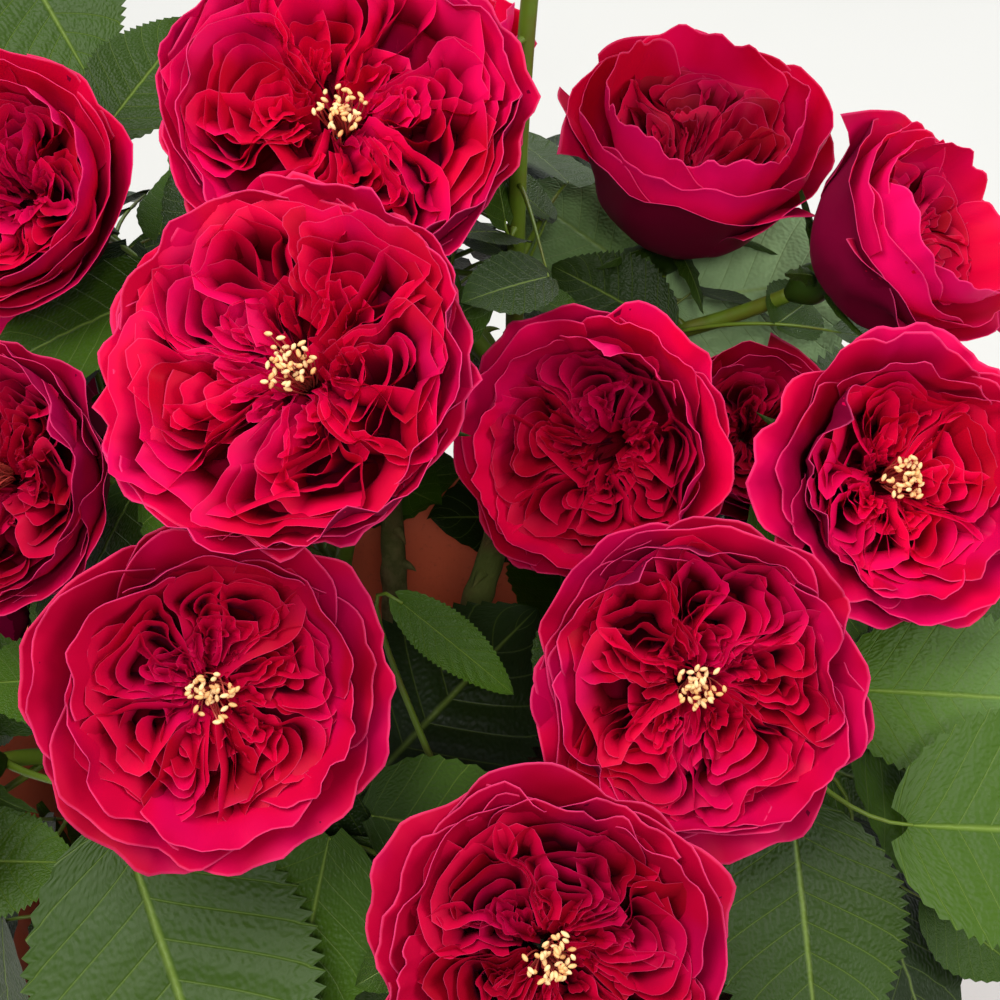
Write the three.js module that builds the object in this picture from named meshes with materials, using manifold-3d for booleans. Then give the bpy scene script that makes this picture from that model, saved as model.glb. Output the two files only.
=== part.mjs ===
// A potted shrub rose: a round clay-coloured pot filled with compost, a woody base, eight canes, and at the tip
// of each cane a mass of flower stems and shoots with compound leaves, which carry large cupped blooms.
// Millimetres, +Z up. The origin is the middle of the pot's flat underside; the front of the bush faces -Y.
import * as THREE from "three";
import { mergeVertices } from "three/addons/utils/BufferGeometryUtils.js";
import Module from "manifold-3d";

const wasm = await Module();
wasm.setup();

// Pot and compost
const CLEARANCE = 0.3; // between pieces that meet
const POT_HEIGHT = 240;
const POT_BASE_RADIUS = 92;
const POT_TOP_RADIUS = 124;
const POT_WALL = 5;
const POT_FLOOR = 7;
const RIM_RADIUS = 133;
const RIM_DEPTH = 32;
const POT_SIDES = 32;
const DRAIN_RADIUS = 6;
const DRAIN_CIRCLE = 56;
const DRAIN_COUNT = 4;
const COMPOST_LEVEL = 180;
const COMPOST_PATCH = 30; // radius of the level patch under the woody base
const COMPOST_FALL = 5; // from the patch to the pot's wall

// Woody base and canes
const BASE_FLARE = 25;
const BASE_NECK = 15;
const BASE_HEAD = 18;
const BASE_HEIGHT = 36;
const STUB = 16; // the length of a cane's stub on the woody base
const STRAIGHT = 5; // at each end of a cane, so that it meets its neighbours squarely
const CANE_FOOT_RADIUS = 5.2;
const CANE_TIP_RADIUS = 3.4;
const CANES = [
  { name: "front_left", bearing: -140, reach: 74, height: 290 },
  { name: "front", bearing: -88, reach: 70, height: 282 },
  { name: "right_front", bearing: -28, reach: 78, height: 288 },
  { name: "right_back", bearing: 32, reach: 78, height: 292 },
  { name: "back", bearing: 92, reach: 74, height: 286 },
  { name: "left_back", bearing: 150, reach: 76, height: 290 },
  { name: "middle", bearing: -120, reach: 18, height: 335 },
  { name: "tall", bearing: 50, reach: 52, height: 345 },
];
const UPRIGHT_REACH = 60; // a cane that reaches less far than this stands upright in the middle

// Crown
const CROWN_CENTRE = [12, 5, 335];
const CROWN_RADIUS = 132; // to the middle of a bloom
const LEAF_REACH = [128, 186]; // how far leaves reach from the crown's centre: overhead, and at the sides
const STEM_RADIUS = 2.4;
const STEM_TIP_RADIUS = 1.9;
const PETIOLE_RADIUS = 1.3;
const HIP_RADIUS = 5;
const HIP_LENGTH = 10;
const ROOT_LENGTH = 14; // the single stem that carries on from a cane's tip
const LEAF_PLACES = 430;
const LEAF_PITCHES = [70, -48]; // from the top of the leaves' spiral to its foot
const LEAF_STALK = [14, 95]; // the shortest and the longest
const LEAF_TRIES = 6; // places on the stems that a leaf is tried from
const LEAFLET_LENGTH = 54;
const LEAFLET_WIDTH = 0.7; // of its length
const LEAFLET_THICKNESS = 1.2;
const BLOOM_SIDES = 13;
const SMALLEST_EDGE = 0.03;
const SEED = 23;

// Leaves and their stalks keep out of the light before a bloom, a shaft this many of its radii long and wide, and
// out of the openings: round shafts down to the inside of the pot, to the hip of a bloom at the right, and past
// the tall stem.
const LIGHT_LENGTH = 2.6;
const LIGHT_WIDTH = 0.8;
const OPENINGS = [
  { from: [16, -131, 473], to: [1, 116, 211], radius: 13 },
  { from: [-55, -125, 408], to: [-114, 34, 200], radius: 10 },
  { from: [49, -44, 476], to: [54, 40, 413], radius: 13 },
  { from: [68, -53, 466], to: [79, 33, 397], radius: 11 },
  { from: [40, -23, 497], to: [44, 106, 414], radius: 9 },
];

// The blooms of the front: the middle of the rim, the bearing and pitch that the bloom faces, its radius,
// its depth from rim to hip as a share of that radius, and how open it is (0 cupped, 1 flat open).
const FRONT_BLOOMS = [
  { name: "centre", at: [-12, -62, 455], bearing: -114, pitch: 57, radius: 39, depth: 0.85, open: 1.0 },
  { name: "crown", at: [-4, 5, 469], bearing: -90, pitch: 58, radius: 40, depth: 0.85, open: 0.9 },
  { name: "far_left", at: [-83, 12, 443], bearing: -111, pitch: 46, radius: 31, depth: 0.95, open: 0.4 },
  { name: "left", at: [-81, -50, 412], bearing: -118, pitch: 41, radius: 31, depth: 0.9, open: 0.6 },
  { name: "low_left", at: [-27, -99, 398], bearing: -75, pitch: 39, radius: 37, depth: 0.8, open: 0.9 },
  { name: "high_right", at: [79, 56, 431], bearing: -42, pitch: 81, radius: 34, depth: 1.2, open: 0.2 },
  { name: "far_right", at: [132, 19, 426], bearing: -22, pitch: 43, radius: 29, depth: 1.15, open: 0.3 },
  { name: "deep", at: [50, -29, 400], bearing: -113, pitch: 37, radius: 33, depth: 1.0, open: 0.5 },
  { name: "right", at: [118, -46, 407], bearing: -74, pitch: 44, radius: 34, depth: 0.9, open: 0.8 },
  { name: "low_right", at: [71, -92, 392], bearing: -90, pitch: 38, radius: 35, depth: 0.85, open: 0.9 },
  { name: "lowest", at: [40, -146, 378], bearing: -85, pitch: 52, radius: 36, depth: 0.9, open: 0.8 },
  { name: "small_left", at: [-103, -92, 357], bearing: -126, pitch: 33, radius: 24, depth: 1.0, open: 0.3 },
  { name: "shaded", at: [93, 8, 371], bearing: -85, pitch: 50, radius: 23, depth: 1.0, open: 0.2 },
  { name: "hanging_left", at: [-66, -136, 289], bearing: -112, pitch: 14, radius: 28, depth: 1.0, open: 0.7 },
  { name: "hanging_right", at: [72, -142, 287], bearing: -62, pitch: 14, radius: 29, depth: 1.0, open: 0.4 },
  { name: "top", at: [41, 44, 526], bearing: 60, pitch: 80, radius: 32, depth: 1.0, open: 0.5 },
];

// The other blooms: places on a spiral round the crown, each taken if it is clear of the blooms before it.
const SPIRAL_PLACES = 150;
const SPIRAL_TURN = 137.5;
const SPIRAL_PITCHES = [66, -20]; // from the top of the spiral to its foot
const SPIRAL_RADII = [28, 35]; // the least and the most
const FRONT_BEARINGS = [-172, -8]; // between these stand only the blooms of the front
// The back slopes down: from left to right, up to a given x, the most that y and z add up to.
const BACK_SLOPE = [
  { x: -95, sum: 500 },
  { x: -50, sum: 418 },
  { x: 20, sum: 540 },
  { x: 200, sum: 414 },
];

// The large leaves of the front: the blade's foot, the bearing and pitch of its midrib, its length and width.
const FRONT_LEAVES = [
  { cane: "front_left", foot: [-51, -97, 349], bearing: -66, pitch: -29, length: 78, width: 62 },
  { cane: "right_front", foot: [93, -95, 354], bearing: -85, pitch: -29, length: 54, width: 43 },
  { cane: "right_front", foot: [117, -99, 356], bearing: -5, pitch: 3, length: 58, width: 50 },
  { cane: "right_front", foot: [108, -64, 359], bearing: -6, pitch: 3, length: 54, width: 38 },
  { cane: "tall", foot: [76, 52, 376], bearing: 2, pitch: 9, length: 56, width: 46 },
  { cane: "tall", foot: [69, 60, 375], bearing: 142, pitch: 16, length: 46, width: 37 },
  { cane: "tall", foot: [71, 29, 386], bearing: 148, pitch: 13, length: 34, width: 24 },
  { cane: "front", foot: [8, -59, 383], bearing: -35, pitch: -18, length: 32, width: 12 },
  { cane: "front", foot: [-8, -58, 306], bearing: 46, pitch: 17, length: 72, width: 54 },
  { cane: "left_back", foot: [-92, 97, 456], bearing: -56, pitch: -26, length: 47, width: 40 },
  { cane: "middle", foot: [-64, 50, 431], bearing: 55, pitch: 23, length: 36, width: 26 },
  { cane: "front_left", foot: [-98, -92, 333], bearing: -6, pitch: 8, length: 34, width: 26 },
  { cane: "left_back", foot: [-110, 78, 350], bearing: 166, pitch: -8, length: 42, width: 30 },
];

// Vectors are arrays of three numbers.
const add = (a, b) => [a[0] + b[0], a[1] + b[1], a[2] + b[2]];
const sub = (a, b) => [a[0] - b[0], a[1] - b[1], a[2] - b[2]];
const mul = (a, k) => [a[0] * k, a[1] * k, a[2] * k];
const dot = (a, b) => a[0] * b[0] + a[1] * b[1] + a[2] * b[2];
const cross = (a, b) => [a[1] * b[2] - a[2] * b[1], a[2] * b[0] - a[0] * b[2], a[0] * b[1] - a[1] * b[0]];
const size = (a) => Math.sqrt(dot(a, a));
const unit = (a) => mul(a, 1 / size(a));
const mix = (a, b, t) => add(mul(a, 1 - t), mul(b, t));
const square = (a, axis) => unit(sub(a, mul(axis, dot(a, axis)))); // a, turned square to the axis
const radians = (degrees) => (degrees * Math.PI) / 180;
const UP = [0, 0, 1];

// A repeatable stream of numbers from 0 to 1.
function stream(seed) {
  let state = seed >>> 0;
  return () => {
    state = (Math.imul(state, 1664525) + 1013904223) >>> 0;
    return state / 4294967296;
  };
}

// The unit vector of a bearing (anticlockwise from +X) and a pitch above the level.
function aim(bearing, pitch) {
  const [b, p] = [radians(bearing), radians(pitch)];
  return [Math.cos(b) * Math.cos(p), Math.sin(b) * Math.cos(p), Math.sin(p)];
}

// Points along a cubic curve with end points a, d and handles b, c.
function curve(a, b, c, d, steps) {
  return Array.from({ length: steps + 1 }, (_, i) => {
    const t = i / steps;
    const s = 1 - t;
    return add(add(mul(a, s * s * s), mul(b, 3 * s * s * t)), add(mul(c, 3 * s * t * t), mul(d, t * t * t)));
  });
}

// A unit vector square to an axis.
const besides = (axis) => unit(cross(Math.abs(axis[2]) > 0.9 ? [0, 1, 0] : UP, axis));

// Layout

// A cane's path, from just beyond its stub on the woody base to its tip, where it points up.
function layOutCane(cane) {
  const upright = cane.reach < UPRIGHT_REACH;
  const away = aim(cane.bearing, upright ? 78 : 42);
  const start = add([0, 0, COMPOST_LEVEL + (upright ? 32 : 21)], mul(aim(cane.bearing, 0), upright ? 7 : 6));
  const foot = add(start, mul(away, STUB));
  const tip = add(mul(aim(cane.bearing, 0), cane.reach), mul(UP, cane.height));
  const length = size(sub(tip, foot));
  const [from, to] = [add(foot, mul(away, STRAIGHT)), sub(tip, mul(UP, STRAIGHT))];
  const bend = curve(from, add(from, mul(away, 0.3 * length)), sub(to, mul(UP, 0.35 * length)), to, 6);
  return { ...cane, upright, start, away, foot, tip, path: [foot, ...bend, tip] };
}

// Every bloom: those of the front, then those of the spiral.
function layOutBlooms(random) {
  const blooms = FRONT_BLOOMS.map((b) => ({ ...b, axis: aim(b.bearing, b.pitch), depth: b.depth * b.radius }));
  let count = 0;
  for (let i = 0; i < SPIRAL_PLACES; i++) {
    const share = i / (SPIRAL_PLACES - 1);
    const bearing = ((i * SPIRAL_TURN + 180) % 360) - 180;
    const pitch = SPIRAL_PITCHES[0] + (SPIRAL_PITCHES[1] - SPIRAL_PITCHES[0]) * share;
    const radius = SPIRAL_RADII[0] + (SPIRAL_RADII[1] - SPIRAL_RADII[0]) * random();
    const at = add(CROWN_CENTRE, mul(aim(bearing, pitch), CROWN_RADIUS + 10 * (random() - 0.5)));
    const open = random();
    const front = bearing > FRONT_BEARINGS[0] && bearing < FRONT_BEARINGS[1];
    const tall = at[1] + at[2] > BACK_SLOPE.find((step) => at[0] <= step.x).sum;
    if (front || tall || blooms.some((b) => size(sub(b.at, at)) < b.radius + radius)) continue;
    count += 1;
    const axis = aim(bearing, Math.min(80, pitch + 20));
    blooms.push({ name: `round_${count}`, at, axis, radius, depth: radius * (1.05 - 0.2 * open), open });
  }
  return blooms;
}

// How far a point is inside a bloom's space, with a margin: a bowl behind the rim and a low dome before it.
function insideBloom(point, bloom, margin) {
  const from = sub(point, bloom.at);
  const ahead = dot(from, bloom.axis);
  const aside = size(sub(from, mul(bloom.axis, ahead)));
  const reach = ahead > 0 ? 0.3 * bloom.radius + margin : bloom.depth + margin;
  const across = bloom.radius + margin;
  return (ahead / reach) ** 2 + (aside / across) ** 2 < 1;
}

// Points along a path, closely spaced.
const along = (path) => path.slice(1).flatMap((q, i) => [0, 1, 2, 3].map((k) => mix(path[i], q, k / 4)));

// The distance from a point to a straight stretch, and from the nearest of some points to a path.
function apart(point, p, q) {
  const stretch = sub(q, p);
  const t = Math.min(1, Math.max(0, dot(sub(point, p), stretch) / dot(stretch, stretch)));
  return size(sub(point, mix(p, q, t)));
}
const nearest = (points, path) =>
  Math.min(...path.slice(1).flatMap((q, i) => points.map((p) => apart(p, path[i], q))));

// Each bloom's stem, from the tip of a near cane to the foot of its hip, clear of the other blooms and canes.
function layOutStems(blooms, canes) {
  const laid = [];
  for (const bloom of blooms) {
    const hipTop = sub(bloom.at, mul(bloom.axis, bloom.depth + CLEARANCE));
    const hipFoot = sub(hipTop, mul(bloom.axis, HIP_LENGTH));
    const ways = canes.map((cane) => {
      const from = add(cane.tip, mul(UP, ROOT_LENGTH - 5));
      const length = size(sub(hipFoot, from));
      const leave = unit(add(unit(sub(hipFoot, from)), mul(UP, 0.5)));
      const handles = [add(from, mul(leave, 0.3 * length)), sub(hipFoot, mul(bloom.axis, 0.4 * length))];
      const path = curve(from, ...handles, hipFoot, 6);
      const points = along(path);
      const inBlooms = points.filter((p) => blooms.some((b) => b !== bloom && insideBloom(p, b, 3)));
      const apartFrom = (other, from) => nearest(points.slice(from), other) > CANE_FOOT_RADIUS + STEM_RADIUS;
      const onCanes = canes.filter((other) => !apartFrom(other.path, other === cane ? 3 : 0));
      const onStems = laid.filter((other) => other.cane !== cane.name && !apartFrom(other.path, 0));
      const cost = length + 60 * (inBlooms.length + onCanes.length + onStems.length);
      return { bloom, cane: cane.name, path, length, hipFoot, hipTop, cost };
    });
    laid.push(ways.reduce((best, way) => (way.cost < best.cost ? way : best)));
  }
  return laid;
}

// A leaf blade: its foot, its midrib's direction, the side and the face square to it, its length and width.
function blade(foot, midrib, facing, length, width) {
  const face = square(facing, midrib);
  return { foot, midrib, face, side: cross(face, midrib), length, width };
}

// The outline of a blade, as shares of its length and width.
const OUTLINE = [
  [0, 0],
  [0.3, 0.48],
  [0.66, 0.4],
  [1, 0],
  [0.66, -0.4],
  [0.3, -0.48],
];
const at = (b, x, y, z) =>
  add(b.foot, add(mul(b.midrib, x * b.length), add(mul(b.side, y * b.width), mul(b.face, z))));
const rimOf = (b) => OUTLINE.map(([x, y]) => at(b, x, y, 0));

// Whether a straight stretch comes within a gap of a blade, taken as a flat ellipse.
function passes(p, q, b, gap) {
  const middle = at(b, 0.48, 0, 0);
  const [from, to] = [sub(p, middle), sub(q, middle)];
  const [low, high] = [dot(from, b.face), dot(to, b.face)];
  const stops = [0, 0.25, 0.5, 0.75, 1];
  if (low * high < 0) stops.push(low / (low - high));
  return stops.some((t) => {
    const r = mix(from, to, t);
    const x = dot(r, b.midrib) / (0.5 * b.length + gap);
    const y = dot(r, b.side) / (0.48 * b.width + gap);
    return Math.abs(dot(r, b.face)) < gap && x * x + y * y < 1;
  });
}

// How far leaves reach from the crown's centre, at a rise from -1 straight down to 1 straight up.
function leafReach(rise) {
  const lift = Math.min(1, Math.max(0, rise + 0.25));
  return LEAF_REACH[1] + (LEAF_REACH[0] - LEAF_REACH[1]) * lift;
}

// Whether points keep to the crown's space: within its reach, and clear of the pot and the compost.
function inSpace(points) {
  const low = points.some((p) => p[2] < POT_HEIGHT + 4);
  const outside = points.every((p) => Math.hypot(p[0], p[1]) > RIM_RADIUS + 4);
  const inside = points.every((p) => Math.hypot(p[0], p[1]) < POT_TOP_RADIUS - 16 && p[2] > COMPOST_LEVEL + 8);
  const near = points.every((p) => {
    const from = sub(p, CROWN_CENTRE);
    return size(from) < leafReach(from[2] / size(from));
  });
  return near && (!low || outside || inside);
}

// Whether a point is in the light before a bloom, or in an opening.
function inLight(point, blooms) {
  const before = (bloom) => {
    const from = sub(point, bloom.at);
    const ahead = dot(from, bloom.axis);
    const aside = size(sub(from, mul(bloom.axis, ahead)));
    return ahead > 0 && ahead < LIGHT_LENGTH * bloom.radius && aside < LIGHT_WIDTH * bloom.radius;
  };
  return blooms.some(before) || OPENINGS.some((o) => apart(point, o.from, o.to) < o.radius);
}

// Grows the masses: stems first, then the large leaves of the front, then leaves and shoots by the seeded rule.
function growMasses(canes, blooms, stems, random) {
  const masses = canes.map((cane) => ({ name: cane.name, cane, rods: [], blades: [] }));
  const massOf = (name) => masses.find((m) => m.name === name);
  const fixed = [
    ...canes.map((cane) => ({ path: cane.path, foot: CANE_FOOT_RADIUS })),
    ...stems.map((stem) => ({ path: [stem.hipFoot, stem.hipTop], foot: HIP_RADIUS })),
  ];
  const allBlades = () => masses.flatMap((m) => m.blades);

  // Whether a path is clear of the blooms, of the blades, and of the limbs of the other masses.
  function pathClear(mass, path, radius) {
    const points = along(path);
    if (points.some((p) => inLight(p, blooms) || blooms.some((b) => insideBloom(p, b, radius + 1)))) return false;
    const stretches = path.slice(1).map((q, i) => [path[i], q]);
    if (allBlades().some((b) => stretches.some(([p, q]) => passes(p, q, b, radius + 1)))) return false;
    const others = masses.filter((m) => m !== mass).flatMap((m) => m.rods);
    return [...others, ...fixed].every((rod) => nearest(points, rod.path) > rod.foot + radius + 1);
  }

  // Whether a blade is clear of the blooms, of every limb but its own, and of the blades already there.
  function bladeClear(b, own) {
    const rim = rimOf(b);
    const inner = [0.25, 0.5, 0.75].flatMap((x) => [at(b, x, 0, 0), at(b, x, 0.25, 0), at(b, x, -0.25, 0)]);
    if (!inSpace([...rim, ...inner])) return false;
    const points = [...inner, ...rim.map((p, i) => mix(p, rim[(i + 1) % rim.length], 0.5)), ...rim];
    if (points.some((p) => inLight(p, blooms) || blooms.some((bloom) => insideBloom(p, bloom, 2.5)))) return false;
    const rods = [...masses.flatMap((m) => m.rods), ...fixed].filter((rod) => !own.includes(rod));
    const touched = (rod) => rod.path.slice(1).some((q, i) => passes(rod.path[i], q, b, rod.foot + 0.8));
    if (rods.some(touched)) return false;
    const edges = (r) => r.map((p, i) => [p, r[(i + 1) % r.length]]);
    return allBlades().every((other) => {
      if (size(sub(other.foot, b.foot)) > other.length + b.length + 4) return true;
      if (edges(rim).some(([p, q]) => passes(p, q, other, 1.6))) return false;
      return !edges(rimOf(other)).some(([p, q]) => passes(p, q, b, 1.6));
    });
  }

  // The places along a mass's stems that a leaf can grow from, nearest first.
  const spotsNear = (point, rods) =>
    rods
      .flatMap((rod) => along(rod.path).map((from) => ({ from, rod, far: size(sub(point, from)) })))
      .filter((spot) => spot.far > LEAF_STALK[0] && spot.far < LEAF_STALK[1])
      .sort((a, b) => a.far - b.far);

  // A compound leaf whose stalk runs from a stem to a place in the crown: one leaflet at its end, and pairs.
  function growLeaf(place, heading, facing, scale) {
    const stems = masses.flatMap((mass) => mass.stems.map((rod) => ({ ...rod, mass, rod })));
    const spots = spotsNear(place, stems).filter((_, i) => i % 4 === 0);
    for (const { from, rod, far } of spots.slice(0, LEAF_TRIES)) {
      const mass = rod.mass;
      const leave = unit(add(unit(sub(place, from)), mul(UP, 0.35)));
      const handles = [add(from, mul(leave, 0.35 * far)), sub(place, mul(heading, 0.35 * far))];
      const path = curve(from, ...handles, place, 3);
      if (!pathClear(mass, path, PETIOLE_RADIUS)) continue;
      const petiole = { path, foot: PETIOLE_RADIUS, tip: PETIOLE_RADIUS * 0.8, sides: 3 };
      const length = LEAFLET_LENGTH * scale;
      const leaflets = [[place, unit(sub(place, path[2])), length]];
      for (const i of far > 45 ? [2, 1] : [2])
        for (const hand of [1, -1]) {
          const ahead = unit(sub(path[i + 1], path[i]));
          const midrib = unit(add(mul(ahead, 0.42), mul(unit(cross(facing, ahead)), 0.9 * hand)));
          leaflets.push([path[i], midrib, length * (i === 2 ? 0.84 : 0.7)]);
        }
      const kept = [];
      for (const [foot, midrib, reach] of leaflets) {
        const b = blade(sub(foot, mul(midrib, 0.4)), midrib, facing, reach, reach * LEAFLET_WIDTH);
        const sides = rimOf(b).map((p, i, rim) => [p, rim[(i + 1) % rim.length]]);
        const beside = kept.some((other) => sides.some(([p, q]) => passes(p, q, other, 0.3)));
        if (!beside && bladeClear(b, [rod.rod, petiole])) kept.push(b);
      }
      if (kept.length < 2) continue;
      mass.rods.push(petiole);
      mass.blades.push(...kept);
      return;
    }
  }

  for (const mass of masses) {
    const tip = mass.cane.tip;
    const path = [add(tip, mul(UP, CLEARANCE)), add(tip, mul(UP, ROOT_LENGTH))];
    mass.root = { path, foot: CANE_TIP_RADIUS, tip: CANE_TIP_RADIUS * 0.8, sides: 6 };
    mass.rods.push(mass.root);
    mass.stems = [];
  }
  for (const stem of stems) {
    const rod = { path: stem.path, foot: STEM_RADIUS, tip: STEM_TIP_RADIUS, sides: 3 };
    massOf(stem.cane).rods.push(rod);
    massOf(stem.cane).stems.push(rod);
  }
  for (const leaf of FRONT_LEAVES) {
    const mass = massOf(leaf.cane);
    const midrib = aim(leaf.bearing, leaf.pitch);
    const spots = mass.stems.flatMap((rod) => along(rod.path)).map((p) => {
      const hits = along([p, mix(p, leaf.foot, 0.5), leaf.foot]).filter((q) => blooms.some((b) => insideBloom(q, b, 2)));
      return { from: p, far: size(sub(p, leaf.foot)), cost: size(sub(p, leaf.foot)) + 60 * hits.length };
    });
    const { from, far } = spots.reduce((best, spot) => (spot.cost < best.cost ? spot : best));
    const path = curve(
      from,
      add(from, mul(unit(sub(leaf.foot, from)), 0.4 * far)),
      sub(leaf.foot, mul(midrib, 0.3 * far)),
      add(leaf.foot, mul(midrib, 1)),
      4,
    );
    mass.rods.push({ path, foot: PETIOLE_RADIUS, tip: PETIOLE_RADIUS * 0.8, sides: 3 });
    mass.blades.push(blade(leaf.foot, midrib, [0, -0.5, 0.85], leaf.length, leaf.width));
  }
  for (let i = 0; i < LEAF_PLACES; i++) {
    const bearing = i * SPIRAL_TURN;
    const pitch = LEAF_PITCHES[0] + ((LEAF_PITCHES[1] - LEAF_PITCHES[0]) * i) / (LEAF_PLACES - 1);
    const outward = aim(bearing, pitch);
    const reach = leafReach(outward[2]) * (0.66 + 0.2 * random());
    const down = unit(sub(mul(outward, outward[2]), UP));
    const aside = mul(cross(outward, down), 2 * random() - 1);
    const heading = unit(add(mul(outward, 0.5), add(mul(down, 0.55), mul(aside, 0.8))));
    const facing = unit(add(outward, mul(UP, 0.45)));
    growLeaf(add(CROWN_CENTRE, mul(outward, reach)), heading, facing, 0.85 + 0.3 * random());
  }
  return masses;
}

// Solids

// A manifold solid from points and triangles that face out.
function solidOf(points, faces) {
  const vertProperties = new Float32Array(points.flat());
  return new wasm.Manifold(new wasm.Mesh({ numProp: 3, vertProperties, triVerts: new Uint32Array(faces.flat()) }));
}

// A manifold solid from a closed three.js geometry.
function solidOfGeometry(geometry) {
  geometry.deleteAttribute("normal");
  geometry.deleteAttribute("uv");
  const merged = mergeVertices(geometry, 1e-3);
  const vertProperties = new Float32Array(merged.attributes.position.array);
  return new wasm.Manifold(
    new wasm.Mesh({ numProp: 3, vertProperties, triVerts: new Uint32Array(merged.index.array) }),
  );
}

// The largest body of a fused solid, without its tiniest edges: a hollow that fusing seals is filled, and a
// loose scrap is dropped.
function wholeOf(solid) {
  const bodies = solid.simplify(SMALLEST_EDGE).decompose();
  return bodies.reduce((best, body) => (body.volume() > best.volume() ? body : best));
}

// A solid as a named mesh with a finish of its own.
function meshOf(name, solid, colour, roughness) {
  const mesh = solid.getMesh();
  const positions = new Float32Array(mesh.numVert * 3);
  for (let i = 0; i < mesh.numVert; i++) {
    const start = i * mesh.numProp;
    positions.set(mesh.vertProperties.subarray(start, start + 3), i * 3);
  }
  const geometry = new THREE.BufferGeometry();
  geometry.setAttribute("position", new THREE.BufferAttribute(positions, 3));
  geometry.setIndex(new THREE.BufferAttribute(new Uint32Array(mesh.triVerts), 1));
  geometry.computeVertexNormals();
  const material = new THREE.MeshStandardMaterial({ color: colour, roughness, metalness: 0 });
  const body = new THREE.Mesh(geometry, material);
  body.name = name;
  return body;
}

// A closed solid through rings of equal numbers of points, each ring anticlockwise seen from the next one.
function loft(rings) {
  const count = rings[0].length;
  const points = rings.flat();
  const faces = [];
  for (let i = 0; i + 1 < rings.length; i++)
    for (let j = 0; j < count; j++) {
      const k = (j + 1) % count;
      const [a, b, c, d] = [i * count + j, i * count + k, (i + 1) * count + k, (i + 1) * count + j];
      faces.push([a, b, c], [a, c, d]);
    }
  const top = (rings.length - 1) * count;
  for (let j = 1; j + 1 < count; j++) faces.push([0, j + 1, j], [top, top + j, top + j + 1]);
  return solidOf(points, faces);
}

// A tapering limb along a path.
function limb({ path, foot, tip, sides }) {
  let side = null;
  const rings = path.map((point, i) => {
    const ahead = unit(sub(path[Math.min(path.length - 1, i + 1)], path[Math.max(0, i - 1)]));
    side = side ? square(side, ahead) : besides(ahead);
    const other = cross(ahead, side);
    const radius = foot + ((tip - foot) * i) / (path.length - 1);
    return Array.from({ length: sides }, (_, j) => {
      const turn = (2 * Math.PI * j) / sides;
      return add(point, add(mul(side, radius * Math.cos(turn)), mul(other, radius * Math.sin(turn))));
    });
  });
  return loft(rings);
}

// A leaf blade of eight faces: four points round its edge, and one on each side, folded along its midrib.
function bladeSolid(b) {
  const rim = [at(b, 0, 0, 0), at(b, 0.42, 0.5, 1.5), at(b, 1, 0, -0.1 * b.length), at(b, 0.42, -0.5, 1.5)];
  const points = [...rim, at(b, 0.5, 0, 0), at(b, 0.5, 0, -LEAFLET_THICKNESS)];
  const faces = rim.flatMap((_, i) => [
    [4, (i + 1) % 4, i],
    [5, i, (i + 1) % 4],
  ]);
  return solidOf(points, faces);
}

// The green hip below a bloom.
function hipSolid(stem) {
  const axis = stem.bloom.axis;
  const side = besides(axis);
  const other = cross(axis, side);
  const ring = (height, radius) =>
    Array.from({ length: 5 }, (_, j) => {
      const turn = (2 * Math.PI * j) / 5;
      const out = add(mul(side, radius * Math.cos(turn)), mul(other, radius * Math.sin(turn)));
      return add(add(stem.hipFoot, mul(axis, height)), out);
    });
  return loft([ring(-3, 1.2), ring(3, HIP_RADIUS), ring(7, HIP_RADIUS), ring(HIP_LENGTH, 0.8 * HIP_RADIUS)]);
}

// A bloom: a lobed bowl of outer petals, and ridged petals folded in quarters inside it.
function bloomSolid(bloom, turn) {
  const { radius, depth, axis, open } = bloom;
  const side = besides(axis);
  const other = cross(axis, side);
  const count = BLOOM_SIDES;
  const inner = 0.12 + 0.1 * open;
  const rows = [
    { out: 0.13, lift: -depth, lobes: 0, wave: 0 },
    { out: 0.62, lift: -0.68 * depth, lobes: 5, wave: 0.05 },
    { out: 0.91, lift: -0.3 * depth, lobes: 5, wave: 0.05 },
    { out: 0.96, lift: 0.03 * radius, lobes: 5, wave: 0.04 },
    { out: 0.78, lift: -0.1 * radius, lobes: 5, wave: -0.04 },
    { out: 0.5, lift: 0.06 * radius, lobes: 5, wave: 0.06 },
    { out: inner, lift: -0.24 * radius, lobes: 0, wave: 0 },
  ];
  const rings = rows.map(({ out, lift, lobes, wave }) =>
    Array.from({ length: count }, (_, j) => {
      const angle = turn + (2 * Math.PI * j) / count;
      const reach = radius * (out + wave * Math.cos(lobes * angle - lobes * turn));
      const spoke = add(mul(side, reach * Math.cos(angle)), mul(other, reach * Math.sin(angle)));
      return add(add(bloom.at, mul(axis, lift)), spoke);
    }),
  );
  return loft(rings);
}

// The radius of the pot's outer wall at a height.
const wallAt = (z) => POT_BASE_RADIUS + ((POT_TOP_RADIUS - POT_BASE_RADIUS) * z) / POT_HEIGHT;

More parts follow.
